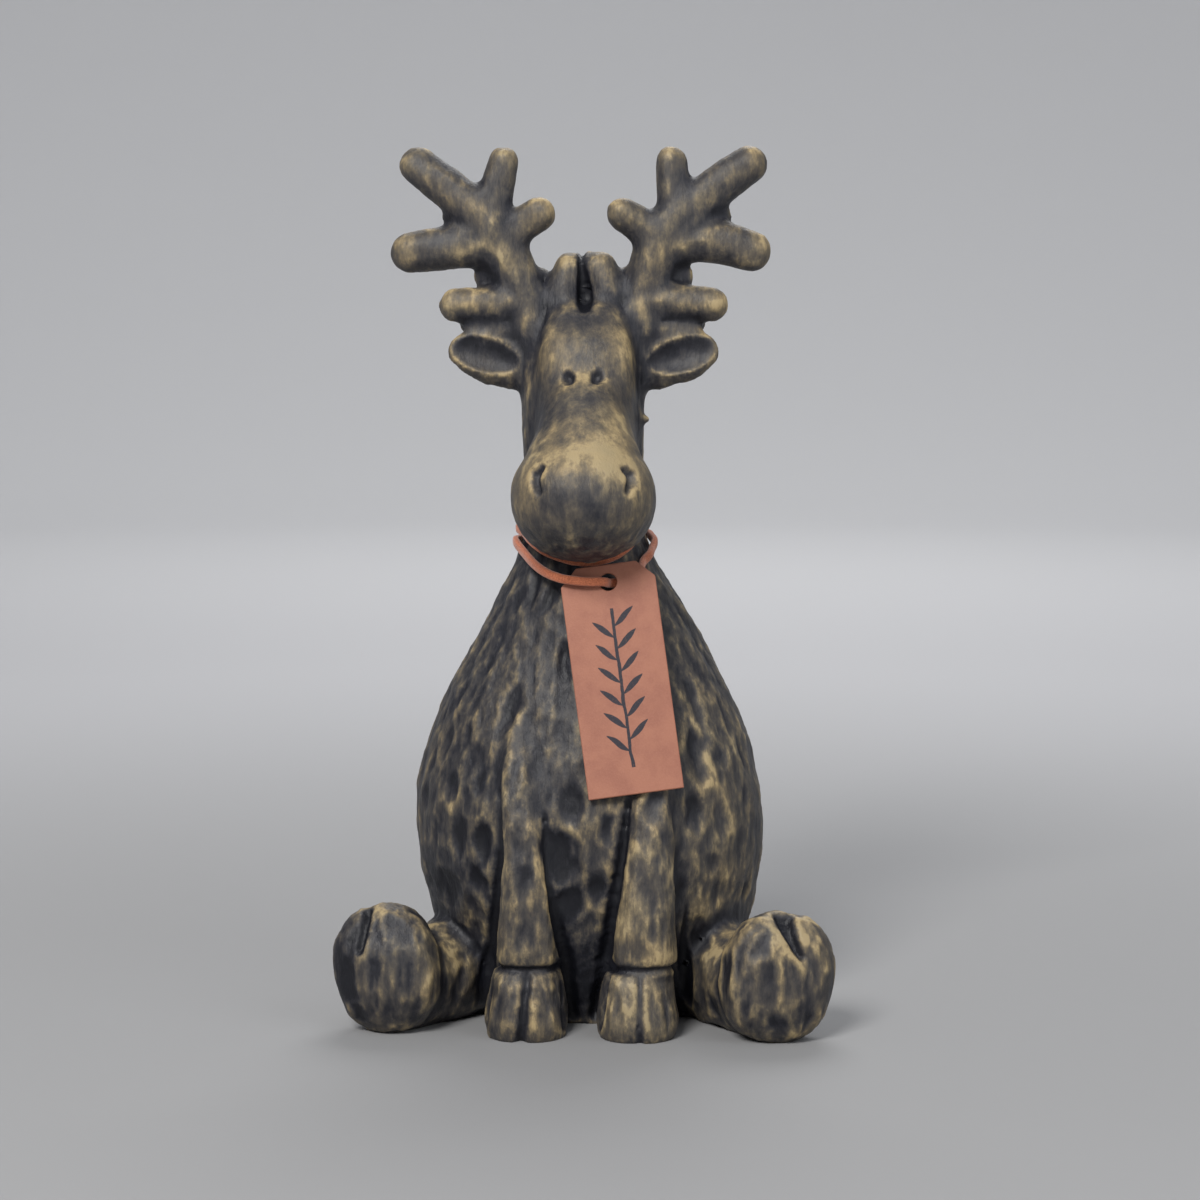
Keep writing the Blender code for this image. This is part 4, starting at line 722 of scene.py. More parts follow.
class Nodes:
    """Short ways to add and join shader nodes."""

    def __init__(self, name):
        self.material = bpy.data.materials.new(name)
        self.material.use_nodes = True
        self.tree = self.material.node_tree
        self.shader = self.tree.nodes["Principled BSDF"]

    def put(self, socket, value):
        if isinstance(value, bpy.types.NodeSocket):
            self.tree.links.new(value, socket)
        else:
            socket.default_value = value

    def math(self, operation, a, b=0.0, c=0.0, clamp=False):
        node = self.tree.nodes.new("ShaderNodeMath")
        node.operation = operation
        node.use_clamp = clamp
        for socket, value in zip(node.inputs, (a, b, c)):
            self.put(socket, value)
        return node.outputs[0]

    def vector(self, operation, a, b=(0, 0, 0)):
        node = self.tree.nodes.new("ShaderNodeVectorMath")
        node.operation = operation
        self.put(node.inputs[0], a)
        self.put(node.inputs[1], tuple(b))
        return node.outputs["Value" if operation in ("DOT_PRODUCT", "LENGTH") else "Vector"]

    def mark(self, name):
        node = self.tree.nodes.new("ShaderNodeAttribute")
        node.attribute_name = name
        return node.outputs["Fac"]

    def place(self, stretch=(1, 1, 1)):
        where = self.tree.nodes.new("ShaderNodeTexCoord").outputs["Object"]
        node = self.tree.nodes.new("ShaderNodeMapping")
        self.put(node.inputs["Vector"], where)
        node.inputs["Scale"].default_value = stretch
        return node.outputs[0]

    def cloud(self, scale, detail=4.0, roughness=0.55, stretch=(1, 1, 1), distortion=0.0):
        node = self.tree.nodes.new("ShaderNodeTexNoise")
        self.put(node.inputs["Vector"], self.place(stretch))
        node.inputs["Scale"].default_value = scale
        node.inputs["Detail"].default_value = detail
        node.inputs["Roughness"].default_value = roughness
        node.inputs["Distortion"].default_value = distortion
        return node.outputs["Fac"]

    def between(self, value, low, high, to_low=0.0, to_high=1.0):
        """value spread smoothly from to_low, at low, to to_high, at high."""
        node = self.tree.nodes.new("ShaderNodeMapRange")
        node.interpolation_type = "SMOOTHSTEP"
        for socket, given in zip(node.inputs, (value, low, high, to_low, to_high)):
            self.put(socket, given)
        return node.outputs[0]

    def ramp(self, value, stops):
        node = self.tree.nodes.new("ShaderNodeValToRGB")
        self.put(node.inputs[0], value)
        stages = node.color_ramp.elements
        while len(stages) < len(stops):
            stages.new(0.5)
        for stage, (share, levels) in zip(stages, stops):
            stage.position = share
            stage.color = rgb(*levels)
        return node.outputs[0]

    def blend(self, share, a, b, how="MIX"):
        node = self.tree.nodes.new("ShaderNodeMix")
        node.data_type = "RGBA"
        node.blend_type = how
        self.put(node.inputs["Factor"], share)
        self.put(node.inputs["A"], a)
        self.put(node.inputs["B"], b)
        return node.outputs["Result"]

    def bump(self, height, distance, strength=1.0, under=None):
        node = self.tree.nodes.new("ShaderNodeBump")
        node.inputs["Strength"].default_value = strength
        node.inputs["Distance"].default_value = distance
        self.put(node.inputs["Height"], height)
        if under is not None:
            self.put(node.inputs["Normal"], under)
        return node.outputs[0]

    def finish(self, colour, roughness, normal, **fixed):
        self.put(self.shader.inputs["Base Color"], colour)
        self.put(self.shader.inputs["Roughness"], roughness)
        self.put(self.shader.inputs["Normal"], normal)
        for name, value in fixed.items():
            self.shader.inputs[name.replace("_", " ")].default_value = value
        return self.material


# The finish from the darkest recess, dark stain and painted shade, to the lightest ridge, worn tan and painted
# highlight: (share, screen levels)
FINISH = (
    (0.00, (19, 20, 27)), (0.22, (37, 37, 43)), (0.42, (62, 59, 58)), (0.58, (84, 77, 68)), (0.74, (112, 100, 80)),
    (0.88, (140, 123, 93)), (1.00, (168, 148, 110)),
)


def antique_finish_and_painted_light():
    """Dark stain and painted shade in the recesses, and tan dry-brushing and painted highlights on what stands proud,
    with streaks along the grain.
    """
    n = Nodes("antiqued_casting")
    streaks = n.cloud(420, 6.0, 0.6, (1, 1, 0.22), 0.4)
    patches = n.cloud(75, 5.0, 0.6)
    blotches = n.cloud(230, 5.0, 0.65, (1, 1, 0.6))
    grain = n.cloud(1500, 3.0, 0.6, (1, 1, 0.35))
    fine, middle, hollow, overhang_stain_and_shade, carved, wear_and_painted_light, feet = (
        n.mark(name) for name in
        ("fine_relief", "middle_relief", "hollow", "overhang_stain_and_shade", "carved", "wear_and_painted_light", "feet"))
    # Fine relief: its small cuts are painted darker, as stain and painted shade, and its ridges lighter, as tan
    # dry-brushing.
    brush_and_shade = n.between(blotches, 0.40, 0.60, -0.02, -0.20)

    tone = n.math("MULTIPLY_ADD", streaks, 0.34, -0.17)
    tone = n.math("ADD", tone, n.math("MULTIPLY_ADD", blotches, 0.9, -0.45))
    tone = n.math("MULTIPLY_ADD", tone, n.math("MULTIPLY_ADD", feet, -0.48, 1.0), 0.44)
    tone = n.math("MULTIPLY_ADD", n.math("MULTIPLY", middle, feet), -0.15, tone)
    tone = n.math("ADD", tone, n.math("MULTIPLY_ADD", patches, 0.7, -0.35))
    tone = n.math("ADD", tone, n.math("MULTIPLY_ADD", grain, 0.25, -0.125))
    tone = n.math("ADD", tone, n.math("MULTIPLY", fine, brush_and_shade))
    # Darker in the cuts, the wide hollows and the gouges, partly dark stain and partly painted shade; darker on
    # downward-leaning walls and lighter on upward ones, as stain with painted shade and highlight.
    for mark, weight in ((middle, -0.19), (hollow, -0.30), (overhang_stain_and_shade, -0.13), (carved, -0.12)):
        tone = n.math("MULTIPLY_ADD", mark, weight, tone)
    # Patches painted lighter or darker: wear in the finish, and painted highlight and shade where light falls.
    tone = n.math("ADD", tone, wear_and_painted_light)
    colour = n.ramp(tone, FINISH)
    cool = n.between(n.cloud(48, 4.0, 0.5), 0.42, 0.62, 0.0, 0.45)
    colour = n.blend(cool, colour, n.blend(1.0, colour, rgb(226, 236, 255), "MULTIPLY"))

    roughness = n.math("MULTIPLY_ADD", patches, 0.2, 0.42)
    relief = n.math("MULTIPLY_ADD", streaks, 0.7, n.math("MULTIPLY", grain, 0.3))
    return n.finish(colour, roughness, n.bump(relief, 0.0006, 0.8), Specular_IOR_Level=0.4)


def suede(name, colour, dark):
    """Brushed leather lace: a soft nap, darker in its folds."""
    n = Nodes(name)
    nap = n.cloud(2600, 4.0, 0.6)
    uneven = n.cloud(260, 4.0, 0.5)
    shade = n.blend(n.between(nap, 0.3, 0.75), colour, dark)
    shade = n.blend(n.between(uneven, 0.4, 0.7, 0.0, 0.35), shade, dark)
    return n.finish(shade, 0.85, n.bump(nap, 0.0003, 0.7), Sheen_Weight=0.35, Sheen_Roughness=0.5)


# The sprig on the tag, in metres from the hole: where its stem starts and ends, and its leaves
STEM_START = 0.0085
STEM_END = 0.0590
STEM_HALF = 0.00045
LEAF_PITCH = 0.0072
LEAF_REACH = 0.0070
LEAF_HALF = 0.00125
LEAF_RISE = 0.85


def tag_leather(hole, sideways, downward, outward):
    """Smooth pinkish brown leather with a plain leafy sprig in dark ink down its face."""
    n = Nodes("tag_leather")
    from_hole = n.vector("SUBTRACT", n.place(), hole)
    across = n.vector("DOT_PRODUCT", from_hole, sideways)
    down = n.vector("DOT_PRODUCT", from_hole, downward)
    face = n.vector("DOT_PRODUCT", from_hole, outward)
    uneven = n.cloud(150, 3.0, 0.5)
    wobble = n.math("MULTIPLY_ADD", uneven, 0.0016, -0.0008)
    side = n.math("ADD", across, wobble)
    out = n.math("ABSOLUTE", side)
    in_stem = n.math("MULTIPLY", n.between(out, STEM_HALF, STEM_HALF * 1.4, 1.0, 0.0),
                     n.math("MULTIPLY", n.math("GREATER_THAN", down, STEM_START), n.math("LESS_THAN", down, STEM_END)))
    stagger = n.math("MULTIPLY", n.math("GREATER_THAN", side, 0.0), LEAF_PITCH / 2)
    run = n.math("ADD", n.math("ADD", down, stagger), n.math("MULTIPLY", out, LEAF_RISE))
    cell = n.math("SUBTRACT", n.math("MODULO", run, LEAF_PITCH), LEAF_PITCH / 2)
    share = n.math("DIVIDE", out, LEAF_REACH, clamp=True)
    width = n.math("MULTIPLY", n.math("SINE", n.math("MULTIPLY", share, math.pi)), LEAF_HALF)
    in_leaf = n.between(n.math("SUBTRACT", n.math("ABSOLUTE", cell), width), -0.0001, 0.0001, 1.0, 0.0)
    span = n.math("MULTIPLY", n.math("GREATER_THAN", run, STEM_START + LEAF_REACH * LEAF_RISE),
                  n.math("LESS_THAN", run, STEM_END))
    in_leaf = n.math("MULTIPLY", n.math("MULTIPLY", in_leaf, span), n.math("LESS_THAN", out, LEAF_REACH * 0.97))
    ink = n.math("MULTIPLY", n.math("MAXIMUM", in_stem, in_leaf), n.math("GREATER_THAN", face, 0.0))
    ink = n.math("MULTIPLY", ink, n.between(n.cloud(1800, 3.0), 0.2, 0.45, 0.75, 1.0))
    grain = n.cloud(1700, 5.0, 0.6)
    hide = n.blend(n.between(uneven, 0.35, 0.7), rgb(164, 108, 86), rgb(152, 97, 78))
    hide = n.blend(n.between(grain, 0.35, 0.8, 0.0, 0.35), hide, rgb(176, 120, 98))
    colour = n.blend(ink, hide, rgb(36, 33, 44))
    return n.finish(colour, 0.55, n.bump(grain, 0.00012, 0.6), Specular_IOR_Level=0.4)


# Eyes: (x, z, radius); nostrils: lines of (x, z, half width, furthest back y)
EYES = ((-4.9, 206.9, 2.15), (4.2, 207.1, 2.15))
EYE_DEPTH = 2.2
NOSTRILS = (
    ((-11.9, 180.4, 0.9, -30), (-13.9, 178.2, 1.3, -30), (-14.1, 175.6, 1.4, -30), (-12.6, 172.8, 0.9, -30)),
    ((13.7, 179.8, 0.9, -30), (15.9, 178.2, 1.3, -30), (16.1, 175.8, 1.4, -30), (14.9, 172.9, 0.9, -30)),
)
NOSTRIL_DEPTH = 2.4


def eye_depth(points, normals):
    total = np.zeros(len(points))
    for x, z, radius in EYES:
        away = np.hypot(points[:, 0] - x, points[:, 2] - z) / radius
        facing = (points[:, 1] < -10) * np.clip(-normals[:, 1] * 4, 0, 1)
        total = np.maximum(total, EYE_DEPTH * np.clip(1 - away ** 4, 0, 1) * facing)
    return total


# Unevenness between the gouge marks: (how far apart across, how far apart upwards, height, octaves), in modules
FIBRES = ((7.0, 22.0, 0.36, 3), (2.8, 9.0, 0.26, 3))


def fibre_height(points, normals):
    """Low ridges that run upwards, as in rough-carved wood; faint on the face."""
    total = np.zeros(len(points))
    for across, upward, height, octaves in FIBRES:
        scaled = points / (across, across, upward)
        total += height * np.array([noise.fractal(p, 0.8, 2.0, octaves) for p in scaled.tolist()])
    face = soft_step(points[:, 2], 150, 170) * soft_step(-points[:, 1], 6, 14)
    antlers = soft_step(points[:, 2], 205, 222)
    return total * (1 - 0.85 * face) * (1 - 0.5 * antlers)


# The sides of steep cuts are eased: how much deeper than its neighbours a point lies there, and how often
STEEP_STEP = 0.35
STEEP_ROUNDS = 3


def carved_figure():
    """The figure's surface, in modules, smoothed and carved, with how deep each point was carved."""
    surface = Surface(rough_figure())
    finer = (1.5 / VOXEL) ** 2
    surface.relax(round(2 * finer))
    surface.fill_creases(round(27 * finer), fold_share(surface.points))
    surface.relax(1)
    normals = surface.normals()
    scoops = Scoops(surface)
    gouge(scoops)
    hollow = ear_hollow(surface.points, normals)
    depth = smoothed(surface, scoops.depth[:, None], rounds_for(SCOOP_SOFTNESS))[:, 0]
    depth = np.maximum(depth, ankle_depth(surface.points))
    depth = np.maximum(depth, parting_depth(surface.points))
    depth = np.maximum(depth, eye_depth(surface.points, normals))
    for line, deep in CLEFTS + LEG_GROOVES + tuple((line, NOSTRIL_DEPTH) for line in NOSTRILS):
        depth = np.maximum(depth, front_line(surface.points, normals, line, deep))
    surface.points += normals * (fibre_height(surface.points, normals) - depth)[:, None]
    surface.points[:, 1] += hollow
    step = np.abs(surface.average(depth[:, None])[:, 0] - depth)
    steep = np.clip(step / STEEP_STEP, 0, 1)[:, None]
    for _ in range(STEEP_ROUNDS):
        surface.points += 0.5 * steep * (surface.average(surface.points) - surface.points)
    return surface, depth


# The measures of relief: how far each looks, what is taken as level ground round it, and what counts as full
RELIEF = (("fine_relief", 1.1, 4.0, 0.12), ("middle_relief", 3.2, 10.0, 0.62))
HOLLOW_SPREAD = 9.0
HOLLOW_FULL = 3.0
# The span over which a slope counts as leaning, and the lean that counts as full; downward-leaning walls get stain and
# painted shade, upward-leaning ones a painted highlight
LEAN_SPAN = 3.6
LEAN_FULL = 0.22


# The relief marks darken the finish in the cuts and hollows: partly the dark stain, partly painted shade.
def relief_marks(surface):
    """How far each point lies below (above 0) or stands above (below 0) the ground near it, and the wide hollows."""
    normals = surface.normals()

    def below(spread):
        level = smoothed(surface, surface.points, rounds_for(spread))
        return ((level - surface.points) * normals).sum(1)[:, None]

    marks = {}
    for name, spread, ground, full in RELIEF:
        lower = below(spread)
        marks[name] = np.clip((lower - smoothed(surface, lower, rounds_for(ground)))[:, 0] / full, -1, 1)
    marks["hollow"] = np.clip(below(HOLLOW_SPREAD)[:, 0] / HOLLOW_FULL, 0, 1)
    # The upper walls of the scoops lean downward and are painted darker, as stain and painted shade; the lower walls
    # lean upward and get a painted highlight.
    overhang_stain_and_shade = smoothed(surface, normals[:, 2:], rounds_for(LEAN_SPAN))[:, 0] - normals[:, 2]
    marks["overhang_stain_and_shade"] = np.clip(overhang_stain_and_shade / LEAN_FULL, -1, 1)
    return marks


# Places painted lighter (above 0) or darker (below 0): partly the finish worn lighter or left darker, and partly
# painted light and shade, such as the lit top of the muzzle and the shade under the muzzle and head, between the
# hooves and on the outer side of the left hind foot: (x, y, z, three radii, amount)
PATCHES = (
    (9, -28, 189, 9, 14, 13, 0.34), (0, -44, 184, 26, 16, 9, 0.50), (-9, -50, 173, 6, 9, 7, -0.20),
    (4, -52, 171, 5, 9, 6, -0.16), (0, -46, 151, 26, 26, 7, -0.12),
    (0, -40, 168, 26, 20, 12, 0.10), (-9, -22, 193, 7, 9, 6, -0.10),
    (14, -46, 171, 9, 12, 10, 0.16), (-17, -42, 172, 7, 12, 10, 0.12),
    (2, -22, 199, 4, 9, 4, -0.10), (0, -18, 212, 16, 10, 10, 0.22), (0, -16, 200, 14, 10, 12, 0.08),
    (-46, -20, 44, 12, 22, 9, -0.40), (-34, -30, 55, 8, 20, 14, -0.16), (-2, -36, 36, 9, 12, 18, -0.20),
    (38, -30, 45, 15, 20, 16, 0.10), (20, -45, 50, 9, 12, 24, 0.20), (-17, -45, 34, 8, 12, 16, 0.10),
    (18, -48, 10, 14, 12, 12, 0.27), (-11, -48, 12, 8, 12, 12, 0.22), (64, -50, 24, 18, 12, 16, 0.19),
    (-60, -46, 24, 11, 12, 16, 0.14), (20, -46, 28, 8, 12, 14, 0.16), (43, -25, 80, 12, 28, 32, 0.22),
    (-76, -38, 20, 6, 14, 24, -0.46), (-15, -20, 140, 14, 14, 12, -0.22), (-1, 0, 150, 26, 26, 7, -0.22),
    (69, -52, 30, 4, 8, 6, 0.20), (0, -30, 12, 9, 20, 14, -0.5), (0, 3, 232, 8, 14, 12, -0.12),
    (-40, -26, 28, 10, 18, 9, 0.44), (41, -30, 26, 10, 18, 14, 0.20), (0, -38, 33, 8, 12, 4, 0.30),
    (-30, -3, 213, 10, 8, 6, 0.14), (31, -3, 213, 10, 8, 6, 0.14), (0, -8, 234, 14, 12, 8, -0.08),
)
TIP_RUB = 0.14
TIP_REACH = 7.0
RIDGE_RUB = 0.16


def patch_marks(points):
    total = np.zeros(len(points))
    for x, y, z, wide, deep, tall, amount in PATCHES:
        away = ((points - (x, y, z)) / (wide, deep, tall))
        total += amount * np.exp(-(away ** 2).sum(1))
    for antler in (LEFT_ANTLER, RIGHT_ANTLER):
        for tine in antler[1:]:
            away = (points - tine[-1][:3]) / TIP_REACH
            total += TIP_RUB * np.exp(-(away ** 2).sum(1))
        ridge = np.zeros(len(points))
        for tine in antler:
            for start, end in zip(np.array(tine), np.array(tine)[1:]):
                ahead = (end - start)[:3]
                share = np.clip((points - start[:3]) @ ahead / (ahead @ ahead), 0, 1)
                away = (points - start[:3] - share[:, None] * ahead)[:, ::2]
                ridge = np.maximum(ridge, 1 - (away ** 2).sum(1) / (0.8 * start[3]) ** 2)
        total += RIDGE_RUB * ridge
    return total


def feet_mark(points):
    """1 on the hind feet, fading out round them."""
    mark = np.zeros(len(points))
    for centre, radii, _ in FEET:
        away = np.linalg.norm((points - centre) / radii, axis=1)
        mark = np.maximum(mark, np.clip((1.45 - away) / 0.35, 0, 1))
    return mark


def cut_level(mesh, z):
    """Cuts the mesh off flat at a height, closes it there and sets it down on z = 0."""
    bm = bmesh.new()
    bm.from_mesh(mesh)
    everything = bm.verts[:] + bm.edges[:] + bm.faces[:]
    cut = bmesh.ops.bisect_plane(bm, geom=everything, plane_co=(0, 0, z), plane_no=(0, 0, 1), clear_inner=True)
    rim = [e for e in cut["geom_cut"] if isinstance(e, bmesh.types.BMEdge)]
    bmesh.ops.holes_fill(bm, edges=rim)
    bmesh.ops.triangulate(bm, faces=bm.faces)
    bmesh.ops.translate(bm, verts=bm.verts, vec=(0, 0, -z))
    bm.to_mesh(mesh)
    bm.free()
    keep_outer_skin(mesh)


def store_marks(mesh, finder, marks):
    """Gives every point of mesh the marks of the nearest point that they were measured at."""
    nearest = np.array([finder.find(v.co)[1] for v in mesh.vertices], int)
    for name, values in marks.items():
        attribute = mesh.attributes.new(name, "FLOAT", "POINT")
        attribute.data.foreach_set("value", values[nearest].astype(np.float32))


def make_figure():
    surface, depth = carved_figure()
    marks = relief_marks(surface)
    marks["carved"] = np.clip(depth / 3, 0, 1)
    marks["wear_and_painted_light"] = patch_marks(surface.points)
    marks["feet"] = feet_mark(surface.points)
    finder = KDTree(len(surface.points))
    for k, p in enumerate(surface.points):
        finder.insert(p, k)
    finder.balance()
    surface.store()
    mesh = surface.mesh
    cut_level(mesh, 0)
    fine = bpy.data.objects.new("fine_figure", mesh)
    bpy.context.scene.collection.objects.link(fine)
    fewer = fine.modifiers.new("fewer_faces", "DECIMATE")
    fewer.ratio = min(1.0, FIGURE_TRIANGLES / len(mesh.polygons))
    mesh = evaluated_copy(fine)
    bpy.data.objects.remove(fine)
    store_marks(mesh, finder, marks)
    cut_level(mesh, UNEVEN_SOLE)
    tallest = max(v.co.z for v in mesh.vertices)
    mesh.transform(Matrix.Scale(FIGURE_HEIGHT / tallest, 4))
    mesh.shade_smooth()
    mesh.materials.clear()
    return dressed("reindeer_carved", mesh, antique_finish_and_painted_light(), "antiqued_casting", "reindeer")


def surface_tree(mesh):
    """A search tree over the mesh's surface."""
    mesh.calc_loop_triangles()
    points = [v.co.copy() for v in mesh.vertices]
    return BVHTree.FromPolygons(points, [tuple(t.vertices) for t in mesh.loop_triangles])


# Where the tag's hole is, in modules, and how far the tag leans in its own plane, in degrees
TAG_HOLE_AT = (7.9, -27.2, 142.6)
TAG_LEAN = 8.0


def tag_frame(tree):
    """The tag's hole centre and its across, down and outward directions, laid against the belly."""
    hole = Vector(TAG_HOLE_AT) * MODULE
    lean = math.radians(TAG_LEAN)
    for quarter in range(120):
        tilt = math.radians(quarter / 4)
        outward = Vector((0, -math.cos(tilt), math.sin(tilt)))
        down = Vector((0, -math.sin(tilt), -math.cos(tilt)))
        straight_down, straight_across = down, outward.cross(down)
        down = straight_down * math.cos(lean) + straight_across * math.sin(lean)
        across = straight_across * math.cos(lean) - straight_down * math.sin(lean)
        clear = True
        for i in range(13):
            for j in range(25):
                a = (i / 12 - 0.5) * TAG_WIDTH
                d = j / 24 * TAG_LENGTH - TAG_HOLE_DROP
                p = hole + across * a + down * d - outward * TAG_THICKNESS / 2
                place, _, _, _ = tree.ray_cast(p + outward * LONG_RAY, -outward, LONG_RAY + TAG_CLEARANCE)
                clear = clear and place is None
        if clear:
            return hole, across, down, outward
    return hole, across, down, outward


def make_tag(frame):
    """A thin leather tag with its two upper corners cut off and a hole for the lace."""
    hole, across, down, outward = frame
    half, corner = TAG_WIDTH / 2, TAG_CORNER
    top, bottom = -TAG_HOLE_DROP, TAG_LENGTH - TAG_HOLE_DROP
    outline = [(-half, bottom), (half, bottom), (half, top + corner), (half - corner, top),
               (-half + corner, top), (-half, top + corner)]
    sides = 24
    ring = [(TAG_HOLE_RADIUS * math.cos(2 * math.pi * k / sides), TAG_HOLE_RADIUS * math.sin(2 * math.pi * k / sides))
            for k in range(sides)]
    bm = bmesh.new()
    edges = []
    for loop in (outline, ring):
        verts = [bm.verts.new(hole + across * a + down * d - outward * TAG_THICKNESS / 2) for a, d in loop]
        edges += [bm.edges.new((verts[k], verts[(k + 1) % len(verts)])) for k in range(len(verts))]
    filled = bmesh.ops.triangle_fill(bm, use_beauty=True, use_dissolve=False, edges=edges, normal=outward)
    faces = [f for f in filled["geom"] if isinstance(f, bmesh.types.BMFace)]
    grown = bmesh.ops.extrude_face_region(bm, geom=faces)
    moved = [v for v in grown["geom"] if isinstance(v, bmesh.types.BMVert)]
    bmesh.ops.translate(bm, verts=moved, vec=outward * TAG_THICKNESS)
    bmesh.ops.recalc_face_normals(bm, faces=bm.faces)
    mesh = bpy.data.meshes.new("tag")
    bm.to_mesh(mesh)
    bm.free()
    return place_object("tag", mesh, plain_material("tag_leather", (0.48, 0.20, 0.14), 0.6))


# The lace's stations round the neck: (degrees, z in modules), from the front at 0 towards the viewer's right
BEFORE_TAG = ((200, 152.6), (225, 152.8), (250, 153.0), (275, 153.2), (298, 151.0))
AFTER_TAG = ((50, 147.2), (70, 150.4), (92, 153.6), (120, 155.0), (150, 155.8), (180, 156.2), (210, 156.6),
             (240, 157.2), (270, 157.6), (292, 156.6), (315, 153.4), (335, 150.4), (352, 149.2), (370, 149.0),
             (390, 150.4), (408, 154.2), (428, 158.8), (450, 160.8), (475, 161.0), (505, 160.4))
NECK_MIDDLE = (-0.6, 2.0)
KNOT_HEIGHT = 156.4
LONG_RAY = 0.1


def neck_surface(tree, degrees, z):
    """The neck's point at a height, seen from a direction round it, with that direction."""
    turn = math.radians(degrees)
    outward = Vector((math.sin(turn), -math.cos(turn), 0))
    middle = Vector((NECK_MIDDLE[0], NECK_MIDDLE[1], z)) * MODULE
    place, _, _, _ = tree.ray_cast(middle, outward, LONG_RAY)
    return place, outward


def beside_neck(tree, degrees, z):
    """A point of the lace's middle line beside the neck."""
    place, outward = neck_surface(tree, degrees, z)
    return place + outward * (LACE_DIAMETER / 2 + LACE_CLEARANCE)


def knot_middle(tree):
    """The knot sits behind the neck, outside the turn of the lace that passes under it."""
    place, outward = neck_surface(tree, 180, KNOT_HEIGHT)
    return place + outward * (LACE_CLEARANCE + LACE_DIAMETER + KNOT_GAP + KNOT_SIZE[1])


def push_clear(tree, p, need):
    """p moved out of the surface until it is need away from it."""
    place, normal, _, distance = tree.find_nearest(p)
    away = p - place
    if away.dot(normal) < 0:
        return place + normal * need
    if distance < need:
        return place + away.normalized() * need
    return p


def lace_route(tree, frame):
    """The lace's middle line: round the neck, through the tag, and round the neck once more."""
    hole, across, down, outward = frame
    knot = knot_middle(tree)
    gap = TAG_THICKNESS / 2 + LACE_DIAMETER / 2 + LACE_CLEARANCE
    reach = KNOT_SIZE[0] + LACE_DIAMETER / 2 + KNOT_GAP
    before = [knot + Vector((-0.93, 0.05, -0.36)) * reach]
    before += [beside_neck(tree, t, z) for t, z in BEFORE_TAG]
    through = [
        hole - across * 0.0135 + outward * (gap + 0.0002) - down * 0.0024,
        hole - across * 0.0065 + outward * (gap + 0.0004) - down * 0.0006,
        hole - across * 0.0014 + outward * gap * 0.80,
        hole + across * 0.0006 - outward * gap * 0.85,
        hole + across * 0.0050 - outward * (gap + 0.0004),
        hole + across * 0.0105 - outward * (gap + 0.0012) - down * 0.0010,
    ]
    after = [beside_neck(tree, t, z) for t, z in AFTER_TAG]
    after.append(knot + Vector((0.93, 0.05, 0.36)) * reach)
    guides = np.array([tuple(p) for p in before + through + after])
    along = np.concatenate([[0], np.cumsum(np.linalg.norm(np.diff(guides, axis=0), axis=1))])
    at_tag = (along[len(before)] - 0.002, along[len(before) + len(through) - 1] + 0.002)
    rows = smooth_rows(np.column_stack([along, guides]), 0.0008)
    line = [Vector(p) for p in rows[:, 1:]]
    free = [k for k in range(1, len(rows) - 1) if not at_tag[0] < rows[k][0] < at_tag[1]]
    need = LACE_DIAMETER / 2 + LACE_CLEARANCE
    for _ in range(10):
        for k in free:
            line[k] = push_clear(tree, line[k].lerp((line[k - 1] + line[k + 1]) / 2, 0.5), need)
    line = [push_clear(tree, p, need) for p in line]
    return ease_off(thin_out(rows[:, 0], line, at_tag), tree)


def ease_off(route, tree):
    """The route with every straight stretch between its points moved clear of the figure too."""
    need = (LACE_DIAMETER + LACE_CLEARANCE) / 2 + LACE_CLEARANCE / 4
    for _ in range(8):
        for k in range(1, len(route) - 2):
            for share in (0.0, 0.25, 0.5, 0.75):
                p = route[k].lerp(route[k + 1], share)
                shift = push_clear(tree, p, need) - p
                route[k] = route[k] + shift * (1 - share)
                route[k + 1] = route[k + 1] + shift * share
    return route


def thin_out(along, line, at_tag):
    """Fewer points of the line: far apart round the neck and close together at the tag."""
    picked = [line[0]]
    last = along[0]
    for s, p in zip(along, line):
        near = at_tag[0] - LACE_SPACING < s < at_tag[1] + LACE_SPACING
        if s - last >= (LACE_SPACING_AT_TAG if near else LACE_SPACING):
            picked.append(p)
            last = s
    picked[-1] = line[-1]
    return picked

def dressed(name, data, material, slot, *nodes):
    """A visible piece that stands for CAD nodes and rides on the one body."""
    obj = bpy.data.objects.new(name, data)
    bpy.context.scene.collection.objects.link(obj)
    obj.data.materials.append(material)
    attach(obj, "root")
    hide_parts(*nodes)
    return obj


TAG_EDGE = 0.00035


def dress_tag(lay):
    """The tag keeps its solid, with its edges softened, and gets the leather and its ink."""
    tag = frame["nodes"]["tag"]
    join = tag.modifiers.new("join", "WELD")
    join.merge_threshold = 0.00001
    soften = tag.modifiers.new("soften_edges", "BEVEL")
    soften.width = TAG_EDGE
    soften.segments = 3
    soften.limit_method = "ANGLE"
    soften.angle_limit = math.radians(40)
    soften.harden_normals = False
    tag.data.materials.clear()
    tag.data.materials.append(tag_leather(*lay))
    return tag


LACE_THICKNESS = 0.0021
LACE_SIDES = 20
LACE_COLOUR = rgb(206, 122, 84)
LACE_DARK = rgb(150, 78, 48)


